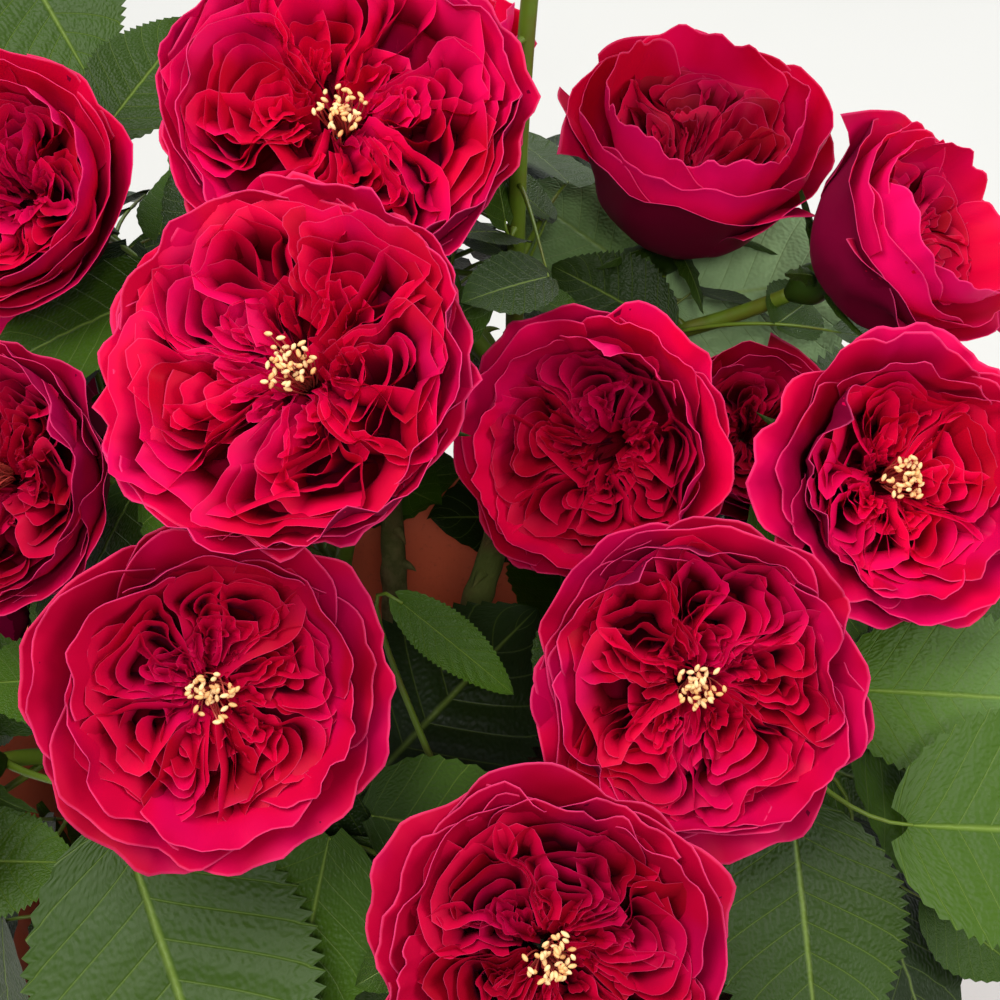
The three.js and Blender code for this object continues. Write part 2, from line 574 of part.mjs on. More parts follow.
// The pot: one wall turned from a closed profile, with a deep rim rolled at its lip, and drain holes.
function potSolid() {
  const collar = POT_HEIGHT - RIM_DEPTH;
  const roll = 4;
  const arc = Array.from({ length: 5 }, (_, i) => {
    const turn = (Math.PI * i) / 4;
    const middle = RIM_RADIUS - roll;
    return [middle + roll * Math.cos(turn), POT_HEIGHT - roll + roll * Math.sin(turn)];
  });
  const profile = [
    [0, 0],
    [POT_BASE_RADIUS - 2, 0],
    [POT_BASE_RADIUS, 2],
    [wallAt(collar), collar],
    [RIM_RADIUS - 3, collar + 2],
    ...arc,
    [POT_TOP_RADIUS - 1, POT_HEIGHT - 12],
    [wallAt(collar) - POT_WALL, collar],
    [wallAt(POT_FLOOR) - POT_WALL, POT_FLOOR],
    [0, POT_FLOOR],
  ].map(([x, y]) => new THREE.Vector2(x, y));
  const wall = solidOfGeometry(new THREE.LatheGeometry(profile, POT_SIDES).rotateX(Math.PI / 2));
  return Array.from({ length: DRAIN_COUNT }).reduce((pot, _, i) => {
    const turn = (2 * Math.PI * (i + 0.5)) / DRAIN_COUNT;
    const hole = new THREE.CylinderGeometry(DRAIN_RADIUS, DRAIN_RADIUS, 3 * POT_FLOOR, 12);
    hole.rotateX(Math.PI / 2);
    hole.translate(DRAIN_CIRCLE * Math.cos(turn), DRAIN_CIRCLE * Math.sin(turn), 0);
    return pot.subtract(solidOfGeometry(hole));
  }, wall);
}

// The compost, which fills the pot to below its rim and has a level patch in the middle.
function compostSolid() {
  const innerAt = (z) => wallAt(z) - POT_WALL - 2 * CLEARANCE;
  const foot = POT_FLOOR + CLEARANCE;
  const profile = [
    [0, foot],
    [innerAt(foot) - 1, foot],
    [innerAt(COMPOST_LEVEL - COMPOST_FALL), COMPOST_LEVEL - COMPOST_FALL],
    [innerAt(COMPOST_LEVEL) - 45, COMPOST_LEVEL - 2],
    [COMPOST_PATCH, COMPOST_LEVEL],
    [0, COMPOST_LEVEL],
  ].map(([x, y]) => new THREE.Vector2(x, y));
  return solidOfGeometry(new THREE.LatheGeometry(profile, POT_SIDES).rotateX(Math.PI / 2));
}

// The woody base: flared at the compost, narrow above it, swollen at its head, with a stub for each cane.
function baseSolid(canes) {
  const foot = COMPOST_LEVEL + CLEARANCE;
  const rows = [
    [BASE_FLARE, 0],
    [BASE_FLARE * 0.78, 5],
    [BASE_NECK, 13],
    [BASE_HEAD, 24],
    [BASE_HEAD * 0.9, BASE_HEIGHT - 6],
    [BASE_HEAD * 0.55, BASE_HEIGHT],
  ];
  const rings = rows.map(([radius, height]) =>
    Array.from({ length: 10 }, (_, j) => {
      const turn = (2 * Math.PI * j) / 10;
      const reach = radius * (1 + 0.1 * Math.cos(3 * turn + height / 9));
      return [reach * Math.cos(turn), reach * Math.sin(turn), foot + height];
    }),
  );
  const stubs = canes.map((cane) => {
    const end = sub(cane.foot, mul(cane.away, CLEARANCE));
    return limb({ path: [cane.start, end], foot: CANE_FOOT_RADIUS + 1.5, tip: CANE_FOOT_RADIUS, sides: 6 });
  });
  return wholeOf(stubs.reduce((solid, stub) => solid.add(stub), loft(rings)));
}

// The plant, put together

const random = stream(SEED);
const canes = CANES.map(layOutCane);
const blooms = layOutBlooms(random);
const stems = layOutStems(blooms, canes);
const masses = growMasses(canes, blooms, stems, random);

const plant = new THREE.Group();
plant.add(meshOf("pot", potSolid(), 0xb8654a, 0.55));
plant.add(meshOf("compost", compostSolid(), 0x2c2119, 0.95));
plant.add(meshOf("woody_base", baseSolid(canes), 0x6b5a3c, 0.85));
for (const cane of canes) {
  const rod = { path: cane.path, foot: CANE_FOOT_RADIUS, tip: CANE_TIP_RADIUS, sides: 6 };
  plant.add(meshOf(`cane_${cane.name}`, limb(rod), 0x5c6b26, 0.6));
}
for (const mass of masses) {
  const hips = stems.filter((stem) => stem.cane === mass.name).map(hipSolid);
  const pieces = [...mass.rods.map(limb), ...hips, ...mass.blades.map(bladeSolid)];
  const solid = wholeOf(pieces.reduce((whole, piece) => whole.add(piece)));
  plant.add(meshOf(`foliage_${mass.name}`, solid, 0x3a5a26, 0.55));
}
blooms.forEach((bloom, i) => {
  plant.add(meshOf(`bloom_${bloom.name}`, bloomSolid(bloom, 2.4 * i), 0xb8062f, 0.6));
});

export default plant;
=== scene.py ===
# %% [markdown]
# # A potted shrub rose
#
# The plant stands in a round clay pot. Eight canes rise from a woody base, each ends in a mass of stems
# and compound leaves, and the stems carry large cupped blooms with folded crimson petals. The packed
# solids give every place. This scene grows the same plant again by the same rule, and carries it finer.

import bpy
import numpy as np
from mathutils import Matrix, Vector


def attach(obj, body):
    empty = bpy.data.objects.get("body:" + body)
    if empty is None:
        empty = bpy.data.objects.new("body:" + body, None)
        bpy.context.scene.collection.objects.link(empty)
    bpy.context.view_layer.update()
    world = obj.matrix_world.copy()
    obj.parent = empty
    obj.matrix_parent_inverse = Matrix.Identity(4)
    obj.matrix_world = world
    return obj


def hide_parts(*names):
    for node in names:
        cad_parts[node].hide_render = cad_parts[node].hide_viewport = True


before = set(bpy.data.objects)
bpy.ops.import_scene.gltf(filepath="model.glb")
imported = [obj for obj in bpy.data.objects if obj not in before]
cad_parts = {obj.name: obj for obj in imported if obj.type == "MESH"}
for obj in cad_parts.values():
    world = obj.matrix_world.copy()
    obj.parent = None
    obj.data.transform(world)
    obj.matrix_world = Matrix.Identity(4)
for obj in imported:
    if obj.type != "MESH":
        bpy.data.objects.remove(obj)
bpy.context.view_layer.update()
MM = 0.001

# %% [markdown]
# ## Camera, floor and light
#
# The view looks down on the blooms at 45 degrees from close by, so that a handful of them fill the frame.
# The camera is placed by the point it looks at, its height angle and its distance. A large soft lamp
# above the front left stands for an open sky. A small one in line with the view lights the bottom of the
# folds, a weaker one fills from the right, and one behind draws the rims. The floor is plain and pale. A
# picture of a sky all round would light the plant too, but four lamps are easier to steer.

# %% Camera
TARGET = np.array([0.030, -0.040, 0.395])
ELEVATION = np.radians(45)
DISTANCE = 0.45
LENS, SENSOR_WIDTH = 73.6, 36  # millimetres
NEAREST = 0.02  # the camera sees nothing closer than this

camera = bpy.data.objects.new("camera", bpy.data.cameras.new("camera"))
bpy.context.collection.objects.link(camera)
camera.data.lens = LENS
camera.data.sensor_width = SENSOR_WIDTH
camera.data.clip_start = NEAREST
camera.location = TARGET + DISTANCE * np.array([0, -np.cos(ELEVATION), np.sin(ELEVATION)])
camera.rotation_euler = (np.pi / 2 - ELEVATION, 0, 0)
bpy.context.scene.camera = camera
bpy.context.scene.view_settings.view_transform = "Standard"
print("camera at", [round(x, 3) for x in camera.location])

# %% Lamps and floor
LAMPS = {  # name: place, size in metres, watts, colour
    "sky": ((-0.6, -0.4, 1.9), 1.1, 32, (1.0, 0.99, 0.97)),
    "front": ((0.07, -1.0, 1.39), 0.2, 6, (1.0, 0.99, 0.98)),
    "fill": ((1.3, -0.5, 1.2), 0.9, 13, (0.97, 0.98, 1.0)),
    "rim": ((0.3, 1.5, 1.2), 1.0, 12, (1.0, 1.0, 1.0)),
}
LAMP_TARGET = (0.0, 0.0, 0.4)
SKY_COLOUR, SKY_STRENGTH = (0.86, 0.93, 1.0, 1), 0.45


def look_at(thing, place, point):
    """Puts a thing at a place and turns its -Z towards a point."""
    thing.location = place
    thing.rotation_euler = (Vector(point) - Vector(place)).to_track_quat("-Z", "Y").to_euler()


for name, (place, size, watts, colour) in LAMPS.items():
    lamp = bpy.data.objects.new(name, bpy.data.lights.new(name, "AREA"))
    bpy.context.collection.objects.link(lamp)
    lamp.data.size = size
    lamp.data.energy = watts
    lamp.data.color = colour
    look_at(lamp, place, LAMP_TARGET)

world = bpy.data.worlds.new("world")
bpy.context.scene.world = world
world.use_nodes = True
background = world.node_tree.nodes["Background"]
background.inputs["Color"].default_value = SKY_COLOUR
background.inputs["Strength"].default_value = SKY_STRENGTH
print(len(LAMPS), "lamps")

# %% [markdown]
# ## Small tools
#
# Every new surface is worked out with numpy as whole arrays, in millimetres, and put into a mesh once. A
# shape is a set of points, four-cornered faces and three-cornered faces, and carries numbers for its
# material. The same could be modelled by hand or with modifiers, but here there are thousands of petals
# and leaves, and a formula makes them all at once.


# %% Shapes as arrays
TINY = 1e-9  # keeps a division by a length of nothing from failing


def unit(a):
    """A vector, or each vector of an array, divided by its length."""
    a = np.asarray(a, float)
    return a / np.maximum(np.linalg.norm(a, axis=-1, keepdims=True), TINY)


def dots(a, b):
    """The dot product of each pair of vectors: the sum of the products of their parts."""
    return (np.asarray(a) * np.asarray(b)).sum(-1)


def shape(points, quads=(), tris=(), **paints):
    """A shape: points (n, 3), faces by point number, and one row of three numbers a point for each
    paint."""
    points = np.asarray(points, float).reshape(-1, 3)
    paints = {name: np.asarray(values, float).reshape(-1, 3) for name, values in paints.items()}
    quads = np.asarray(quads, int).reshape(-1, 4)
    return {"points": points, "quads": quads, "tris": np.asarray(tris, int).reshape(-1, 3), "paints": paints}


def joined(shapes):
    """Several shapes as one: the points in a row, and each shape's faces counted on from those before
    it."""
    shapes = list(shapes)
    starts = np.cumsum([0] + [len(s["points"]) for s in shapes[:-1]])
    made = {k: np.concatenate([s[k] + n for s, n in zip(shapes, starts)]) for k in ("quads", "tris")}
    names = shapes[0]["paints"]
    paints = {name: np.concatenate([s["paints"][name] for s in shapes]) for name in names}
    return {"points": np.concatenate([s["points"] for s in shapes]), **made, "paints": paints}


def grid_faces(count, rows, columns, wrap=False, flip=False):
    """Faces of some equal grids of points, one after another: each face joins a point, the next in its
    row, and the two of the next row. A wrapped grid closes each row on itself."""
    i = np.arange(rows - 1)[:, None]
    j = np.arange(columns if wrap else columns - 1)[None]
    k = (j + 1) % columns
    corners = np.stack([i * columns + j, i * columns + k, (i + 1) * columns + k, (i + 1) * columns + j], -1)
    corners = corners.reshape(-1, 4)[:, :: -1 if flip else 1]
    return (corners[None] + (np.arange(count) * rows * columns)[:, None, None]).reshape(-1, 4)


def add_piece(name, made, finish, slot=None, nodes=(), smooth=True):
    """Puts a shape into a mesh in metres, with its paints as attributes. A piece with a slot is joined to
    the root body and the solids it stands for are hidden; the slot's name itself is not used. A piece
    without a slot belongs to the stage."""
    mesh = bpy.data.meshes.new(name)
    corners = np.concatenate([made["quads"].ravel(), made["tris"].ravel()])
    lengths = np.concatenate([np.full(len(made["quads"]), 4), np.full(len(made["tris"]), 3)])
    mesh.vertices.add(len(made["points"]))
    mesh.vertices.foreach_set("co", (made["points"] * MM).astype(np.float32).ravel())
    mesh.loops.add(len(corners))
    mesh.loops.foreach_set("vertex_index", corners.astype(np.int32))
    mesh.polygons.add(len(lengths))
    mesh.polygons.foreach_set("loop_start", (np.cumsum(lengths) - lengths).astype(np.int32))
    mesh.update(calc_edges=True)
    mesh.polygons.foreach_set("use_smooth", np.full(len(lengths), smooth))
    for paint, values in made["paints"].items():
        attribute = mesh.attributes.new(paint, "FLOAT_VECTOR", "POINT")
        attribute.data.foreach_set("vector", values.astype(np.float32).ravel())
    mesh.materials.append(finish)
    piece = bpy.data.objects.new(name, mesh)
    bpy.context.collection.objects.link(piece)
    if slot is None:
        return piece
    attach(piece, "root")
    if nodes:
        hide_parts(*nodes)
    return piece


def triangles(made):
    """How many triangles a shape has: two for each four-cornered face."""
    return 2 * len(made["quads"]) + len(made["tris"])


# %% Tubes and ripples
STEEP = 0.9  # a direction with a rise above this is too near the upright to be crossed with it
WAVES, WAVE_GAIN = 9, 1.6


def tubes(paths, radii, sides, tone=0.5):
    """Round tubes: at each point of each path stands a ring square to the path, of the given radius,
    turned so that the rings don't twist; a point at each end closes the tube. Paint: along, round, tone."""
    paths = np.asarray(paths, float)
    count, rows, _ = paths.shape
    radii = np.broadcast_to(radii, (count, rows))
    ahead = unit(np.gradient(paths, axis=1))
    steep = np.abs(ahead[:, :1, 2:]) > STEEP
    side = np.cross(np.where(steep, [0.0, 1.0, 0.0], [0.0, 0.0, 1.0])[:, 0], ahead[:, 0])
    frames = []
    for i in range(rows):
        side = unit(side - ahead[:, i] * dots(side, ahead[:, i])[:, None])
        frames.append(side)
    side = np.stack(frames, 1)
    other = np.cross(ahead, side)
    turn = np.arange(sides) / sides * 2 * np.pi
    spokes = side[:, :, None] * np.cos(turn)[:, None] + other[:, :, None] * np.sin(turn)[:, None]
    rings = paths[:, :, None] + radii[:, :, None, None] * spokes
    points = np.concatenate([rings.reshape(-1, 3), paths[:, 0], paths[:, -1]])
    first = np.arange(count)[:, None] * rows * sides + np.arange(sides)
    last = first + (rows - 1) * sides
    foot = (count * rows * sides + np.arange(count))[:, None] + 0 * first
    after = np.roll(first, -1, axis=1)
    tris = np.concatenate([
        np.stack([foot, after, first], -1).reshape(-1, 3),
        np.stack([foot + count, last, np.roll(last, -1, axis=1)], -1).reshape(-1, 3),
    ])
    t = np.broadcast_to(np.linspace(0, 1, rows)[None, :, None], (count, rows, sides))
    j = np.broadcast_to(turn / (2 * np.pi), t.shape)
    tone = np.broadcast_to(np.asarray(tone, float).reshape(-1, 1, 1), t.shape)
    paint = np.stack([t, j, tone], -1).reshape(-1, 3)
    ends = np.repeat(np.array([[0.0, 0, 0.5], [1.0, 0, 0.5]]), count, axis=0)
    return shape(points, grid_faces(count, rows, sides, wrap=True), tris, place=np.concatenate([paint, ends]))


def ripples(points, scale, seed):
    """A smooth three-way waviness from -1 to 1: the mean of nine sine waves that run in random
    directions, with wavelengths near the given scale."""
    chance = np.random.default_rng(seed)
    ways = unit(chance.normal(size=(WAVES, 3))) * chance.uniform(0.7, 1.6, (WAVES, 1)) * 2 * np.pi / scale
    phases = chance.uniform(0, 2 * np.pi, (WAVES, 3))
    waves = np.sin((points @ ways.T)[..., None] + phases)
    return waves.mean(-2) * WAVE_GAIN


def bump(value, middle, width):
    """A bell-shaped bump, 1 at its middle: e to minus the square of the distance from there, in widths."""
    return np.exp(-(((value - middle) / width) ** 2))


print("tools ready")

# %% [markdown]
# ## The plant's layout
#
# These are the driving dimensions of the solids, with the same seed, so that every cane, stem and bloom
# stands where its solid stands. A list of the front blooms gives the rim's middle, the way the bloom
# faces, its radius, its depth and how open it is. The others sit on a spiral round the crown.

# %% Dimensions in millimetres
CLEARANCE = 0.3
POT_HEIGHT, POT_BASE_RADIUS, POT_TOP_RADIUS = 240, 92, 124
POT_WALL, POT_FLOOR, RIM_RADIUS, RIM_DEPTH = 5, 7, 133, 32
DRAIN_RADIUS, DRAIN_CIRCLE, DRAIN_COUNT = 6, 56, 4
COMPOST_LEVEL, COMPOST_PATCH, COMPOST_FALL = 180, 30, 5
BASE_FLARE, BASE_NECK, BASE_HEAD, BASE_HEIGHT = 25, 15, 18, 36
STUB, STRAIGHT, UPRIGHT_REACH = 16, 5, 60
CANE_FOOT_RADIUS, CANE_TIP_RADIUS = 5.2, 3.4
CROWN_CENTRE = np.array([12.0, 5, 335])
CROWN_RADIUS = 132
LEAF_REACH = (128, 186)
STEM_RADIUS, STEM_TIP_RADIUS, PETIOLE_RADIUS = 2.4, 1.9, 1.3
HIP_RADIUS, HIP_LENGTH, ROOT_LENGTH = 5, 10, 14
LEAF_PLACES, LEAF_PITCHES, LEAF_STALK, LEAF_TRIES = 430, (70, -48), (14, 95), 6
LEAFLET_LENGTH, LEAFLET_WIDTH = 54, 0.7
SPIRAL_PLACES, SPIRAL_TURN = 150, 137.5
SPIRAL_PITCHES, SPIRAL_RADII, FRONT_BEARINGS = (66, -20), (28, 35), (-172, -8)
BACK_SLOPE = ((-95, 500), (-50, 418), (20, 540), (200, 414))
LIGHT_LENGTH, LIGHT_WIDTH = 2.6, 0.8  # of a bloom's radius
HIT_COST = 60  # how much longer a way counts for each bloom or limb that it meets
OPENING_TOPS = np.array([[16.0, -131, 473], [-55, -125, 408], [49, -44, 476], [68, -53, 466], [40, -23, 497]])
OPENING_FEET = np.array([[1.0, 116, 211], [-114, 34, 200], [54, 40, 413], [79, 33, 397], [44, 106, 414]])
OPENING_RADII = np.array([13, 10, 13, 11, 9])
SEED = 23

CANES = [  # name, bearing, reach, height
    ("front_left", -140, 74, 290),
    ("front", -88, 70, 282),
    ("right_front", -28, 78, 288),
    ("right_back", 32, 78, 292),
    ("back", 92, 74, 286),
    ("left_back", 150, 76, 290),
    ("middle", -120, 18, 335),
    ("tall", 50, 52, 345),
]

FRONT_BLOOMS = [  # name, middle of the rim, bearing, pitch, radius, depth share, open, heart share
    ("centre", (-12, -62, 455), -114, 57, 39, 0.85, 1.0, 0.88),
    ("crown", (-4, 5, 469), -90, 58, 40, 0.85, 0.9, 0.86),
    ("far_left", (-83, 12, 443), -111, 46, 31, 0.95, 0.4, 0.68),
    ("left", (-81, -50, 412), -118, 41, 31, 0.9, 0.6, 0.8),
    ("low_left", (-27, -99, 398), -75, 39, 37, 0.8, 0.9, 0.7),
    ("high_right", (79, 56, 431), -42, 81, 34, 1.2, 0.2, 0.66),
    ("far_right", (132, 19, 426), -22, 43, 29, 1.15, 0.3, 0.6),
    ("deep", (50, -29, 400), -113, 37, 33, 1.0, 0.5, 0.72),
    ("right", (118, -46, 407), -74, 44, 34, 0.9, 0.8, 0.66),
    ("low_right", (71, -92, 392), -90, 38, 35, 0.85, 0.9, 0.8),
    ("lowest", (40, -146, 378), -85, 52, 36, 0.9, 0.8, 0.78),
    ("small_left", (-103, -92, 357), -126, 33, 24, 1.0, 0.3, 0.7),
    ("shaded", (93, 8, 371), -85, 50, 23, 1.0, 0.2, 0.7),
    ("hanging_left", (-66, -136, 289), -112, 14, 28, 1.0, 0.7, 0.8),
    ("hanging_right", (72, -142, 287), -62, 14, 29, 1.0, 0.4, 0.75),
    ("top", (41, 44, 526), 60, 80, 32, 1.0, 0.5, 0.75),
]

FRONT_LEAVES = [  # cane, foot of the blade, bearing, pitch, length, width, painted light and shade from dark to pale
    ("front_left", (-51, -97, 349), -66, -29, 78, 62, 0.5),
    ("right_front", (93, -95, 354), -85, -29, 54, 43, 0.35),
    ("right_front", (117, -99, 356), -5, 3, 58, 50, 0.7),
    ("right_front", (108, -64, 359), -6, 3, 54, 38, 1.1),
    ("tall", (76, 52, 376), 2, 9, 56, 46, 1.5),
    ("tall", (69, 60, 375), 142, 16, 46, 37, 1.2),
    ("tall", (71, 29, 386), 148, 13, 34, 24, 0.2),
    ("front", (8, -59, 383), -35, -18, 32, 12, 0.8),
    ("front", (-8, -58, 306), 46, 17, 72, 54, 0.1),
    ("left_back", (-92, 97, 456), -56, -26, 47, 40, 0.5),
    ("middle", (-64, 50, 431), 55, 23, 36, 26, 0.4),
    ("front_left", (-98, -92, 333), -6, 8, 34, 26, 0.6),
    ("left_back", (-110, 78, 350), 166, -8, 42, 30, 0.4),
]
print(len(CANES), "canes,", len(FRONT_BLOOMS), "front blooms,", len(FRONT_LEAVES), "large leaves")

# %% [markdown]
# ## Growing rule
#
# The rule is the one behind the solids: lay out the canes, take the places on the spiral that are clear,
# lead a stem to each bloom from the cane that costs least, and grow leaves towards places in the crown
# wherever stalk and leaflets touch nothing. Its random numbers come from a small seeded stream, one after
# another, so both programs draw the same ones.

# %% Rule: vectors, curves and tests
UP = np.array([0.0, 0, 1])


def stream(seed):
    """A repeatable stream of numbers from 0 to 1: the last whole number times a factor, plus a step, kept
    to 32 bits, over 2 to the 32nd."""
    state = seed
    while True:
        state = (state * 1664525 + 1013904223) & 0xFFFFFFFF
        yield state / 4294967296


def aim(bearing, pitch):
    """The unit vector of a bearing, anticlockwise from +X, and a pitch above the level, in degrees."""
    b, p = np.radians(bearing), np.radians(pitch)
    return np.array([np.cos(b) * np.cos(p), np.sin(b) * np.cos(p), np.sin(p)])


def curve(a, b, c, d, steps):
    """Points along a cubic curve: the ends and handles weighted by the powers of t and 1 - t."""
    t = np.linspace(0, 1, steps + 1)[:, None]
    s = 1 - t
    return a * s**3 + 3 * b * s * s * t + 3 * c * s * t * t + d * t**3


def along(path):
    """Points along a path, four to each straight stretch."""
    t = np.array([0, 0.25, 0.5, 0.75])[None, :, None]
    return (path[:-1, None] * (1 - t) + path[1:, None] * t).reshape(-1, 3)


def distances(points, starts, ends):
    """How far each point is from each straight stretch: the length of what is left of the way from the
    stretch's start once the part along the stretch, kept between its ends, is taken off."""
    stretch = ends - starts
    away = points[:, None] - starts[None]
    t = np.clip(dots(away, stretch) / dots(stretch, stretch), 0, 1)
    return np.linalg.norm(away - stretch * t[..., None], axis=2)


def from_blooms(points, blooms):
    """How far each point is along and across each bloom's axis, from the middle of its rim."""
    away = points[:, None] - blooms["at"]
    ahead = dots(away, blooms["axis"])
    return ahead, np.linalg.norm(away - blooms["axis"] * ahead[..., None], axis=2)


def inside_bloom(points, margin, blooms):
    """Whether each point is in each bloom's space: the squares of its shares of the reach along and
    across the bloom's axis add up to less than one."""
    ahead, aside = from_blooms(points, blooms)
    reach = np.where(ahead > 0, 0.3 * blooms["radius"], blooms["depth"]) + margin
    return (ahead / reach) ** 2 + (aside / (blooms["radius"] + margin)) ** 2 < 1


BLADE_OUTLINE = np.array([[0, 0], [0.3, 0.48], [0.66, 0.4], [1, 0], [0.66, -0.4], [0.3, -0.48]])
BLADE_INNER = np.array([[x, y] for x in (0.25, 0.5, 0.75) for y in (0, 0.25, -0.25)])


def blade(foot, midrib, facing, length, width):
    """A leaf blade: its foot, its midrib's direction, the face and side square to it, its length and
    width."""
    face = unit(facing - midrib * dots(facing, midrib))
    return np.concatenate([foot, midrib, face, np.cross(face, midrib), [length, width]])


def on_blade(b, shares):
    """Points of a blade at shares of its length and width from its foot."""
    along_it = b[3:6] * b[12] * shares[:, :1]
    return b[0:3] + along_it + b[9:12] * b[13] * shares[:, 1:2]


def passes(starts, ends, blades, gap):
    """Whether each straight stretch comes within a gap of each blade, taken as a flat ellipse: tested at
    five stops and where the stretch crosses the blade's plane."""
    midrib, face, side = blades[:, 3:6], blades[:, 6:9], blades[:, 9:12]
    middle = blades[:, 0:3] + midrib * (0.48 * blades[:, 12:13])
    a, b = starts[:, None] - middle, ends[:, None] - middle
    low, high = dots(a, face), dots(b, face)
    crossing = np.where(low * high < 0, low / np.where(low == high, 1, low - high), 0)
    hit = np.zeros(low.shape, bool)
    for t in [*(np.full(low.shape, s) for s in (0, 0.25, 0.5, 0.75, 1)), crossing]:
        r = a + (b - a) * t[..., None]
        x = dots(r, midrib) / (0.5 * blades[:, 12] + gap)
        y = dots(r, side) / (0.48 * blades[:, 13] + gap)
        hit |= (np.abs(dots(r, face)) < gap) & (x * x + y * y < 1)
    return hit


def leaf_reach(rise):
    """How far leaves reach from the crown's centre, at a rise from -1 straight down to 1 straight up."""
    return LEAF_REACH[1] + (LEAF_REACH[0] - LEAF_REACH[1]) * np.clip(rise + 0.25, 0, 1)


def in_space(points):
    """Whether points keep within the crown's reach, and clear of the pot and the compost."""
    radial = np.hypot(points[:, 0], points[:, 1])
    low = (points[:, 2] < POT_HEIGHT + 4).any()
    outside = (radial > RIM_RADIUS + 4).all()
    inside = ((radial < POT_TOP_RADIUS - 16) & (points[:, 2] > COMPOST_LEVEL + 8)).all()
    away = points - CROWN_CENTRE
    far = np.linalg.norm(away, axis=1)
    return (far < leaf_reach(away[:, 2] / far)).all() and (not low or outside or inside)


def in_light(points):
    """Whether any point is in the light before a bloom, a shaft of so many radii long and wide, or in one
    of the round openings of the crown."""
    ahead, aside = from_blooms(points, spaces)
    near = (ahead > 0) & (ahead < LIGHT_LENGTH * spaces["radius"])
    before = near & (aside < LIGHT_WIDTH * spaces["radius"])
    return before.any() or (distances(points, OPENING_TOPS, OPENING_FEET) < OPENING_RADII).any()


print("rule ready")


# %% Rule: canes, blooms and stems
def lay_out_cane(name, bearing, reach, height):
    """A cane's path: a straight start, a cubic curve and a straight end that points up."""
    pitch, rise, aside = (78, 32, 7) if reach < UPRIGHT_REACH else (42, 21, 6)
    away = aim(bearing, pitch)
    start = UP * (COMPOST_LEVEL + rise) + aim(bearing, 0) * aside
    foot = start + away * STUB
    tip = aim(bearing, 0) * reach + UP * height
    length = np.linalg.norm(tip - foot)
    a, d = foot + away * STRAIGHT, tip - UP * STRAIGHT
    ends = (a, a + away * 0.3 * length, d - UP * 0.35 * length, d)
    path = np.vstack([foot, curve(*ends, 6), tip])
    fine = np.vstack([foot, curve(*ends, 40), tip])
    return {"name": name, "start": start, "away": away, "foot": foot, "tip": tip, "path": path, "fine": fine}


def new_bloom(name, at, axis, radius, depth, opened, heart):
    """A bloom: the middle of its rim, its axis, radius and depth, how open it is and how wide its heart
    is."""
    at = np.array(at, float)
    return dict(name=name, at=at, axis=axis, radius=radius, depth=depth, open=opened, heart=heart)


random = stream(SEED)
canes = [lay_out_cane(*cane) for cane in CANES]
blooms = [
    new_bloom(name, at, aim(bearing, pitch), radius, share * radius, opened, heart)
    for name, at, bearing, pitch, radius, share, opened, heart in FRONT_BLOOMS
]
for i in range(SPIRAL_PLACES):
    bearing = (i * SPIRAL_TURN + 180) % 360 - 180
    pitch = SPIRAL_PITCHES[0] + (SPIRAL_PITCHES[1] - SPIRAL_PITCHES[0]) * i / (SPIRAL_PLACES - 1)
    radius = SPIRAL_RADII[0] + (SPIRAL_RADII[1] - SPIRAL_RADII[0]) * next(random)
    at = CROWN_CENTRE + aim(bearing, pitch) * (CROWN_RADIUS + 10 * (next(random) - 0.5))
    opened = next(random)
    front = FRONT_BEARINGS[0] < bearing < FRONT_BEARINGS[1]
    tall = at[1] + at[2] > next(most for x, most in BACK_SLOPE if at[0] <= x)
    crowded = any(np.linalg.norm(b["at"] - at) < b["radius"] + radius for b in blooms)
    if front or tall or crowded:
        continue
    name = f"round_{len(blooms) - len(FRONT_BLOOMS) + 1}"
    axis = aim(bearing, min(80, pitch + 20))
    depth = radius * (1.05 - 0.2 * opened)
    blooms.append(new_bloom(name, at, axis, radius, depth, opened, 0.66 + 0.2 * opened))
spaces = {key: np.array([b[key] for b in blooms]) for key in ("at", "axis", "radius", "depth")}

stems = []
for index, bloom in enumerate(blooms):
    others = {key: np.delete(values, index, axis=0) for key, values in spaces.items()}
    hip_top = bloom["at"] - bloom["axis"] * (bloom["depth"] + CLEARANCE)
    hip_foot = hip_top - bloom["axis"] * HIP_LENGTH
    ways = []
    for cane in canes:
        start = cane["tip"] + UP * (ROOT_LENGTH - 5)
        length = np.linalg.norm(hip_foot - start)
        leave = unit(unit(hip_foot - start) + UP * 0.5)
        ends = (start, start + leave * 0.3 * length, hip_foot - bloom["axis"] * 0.4 * length, hip_foot)
        points = along(curve(*ends, 6))
        apart = CANE_FOOT_RADIUS + STEM_RADIUS
        hits = inside_bloom(points, 3, others).any(1).sum()
        for other in canes:
            ahead = points[3 if other is cane else 0 :]
            hits += distances(ahead, other["path"][:-1], other["path"][1:]).min() <= apart
        for other in stems:
            if other["cane"] != cane["name"]:
                hits += distances(points, other["path"][:-1], other["path"][1:]).min() <= apart
        ways.append((length + HIT_COST * hits, cane["name"], ends))
    _, name, ends = min(ways, key=lambda way: way[0])
    stems.append(dict(cane=name, path=curve(*ends, 6), ends=ends, hip_foot=hip_foot, hip_top=hip_top))
print(len(blooms), "blooms with stems")


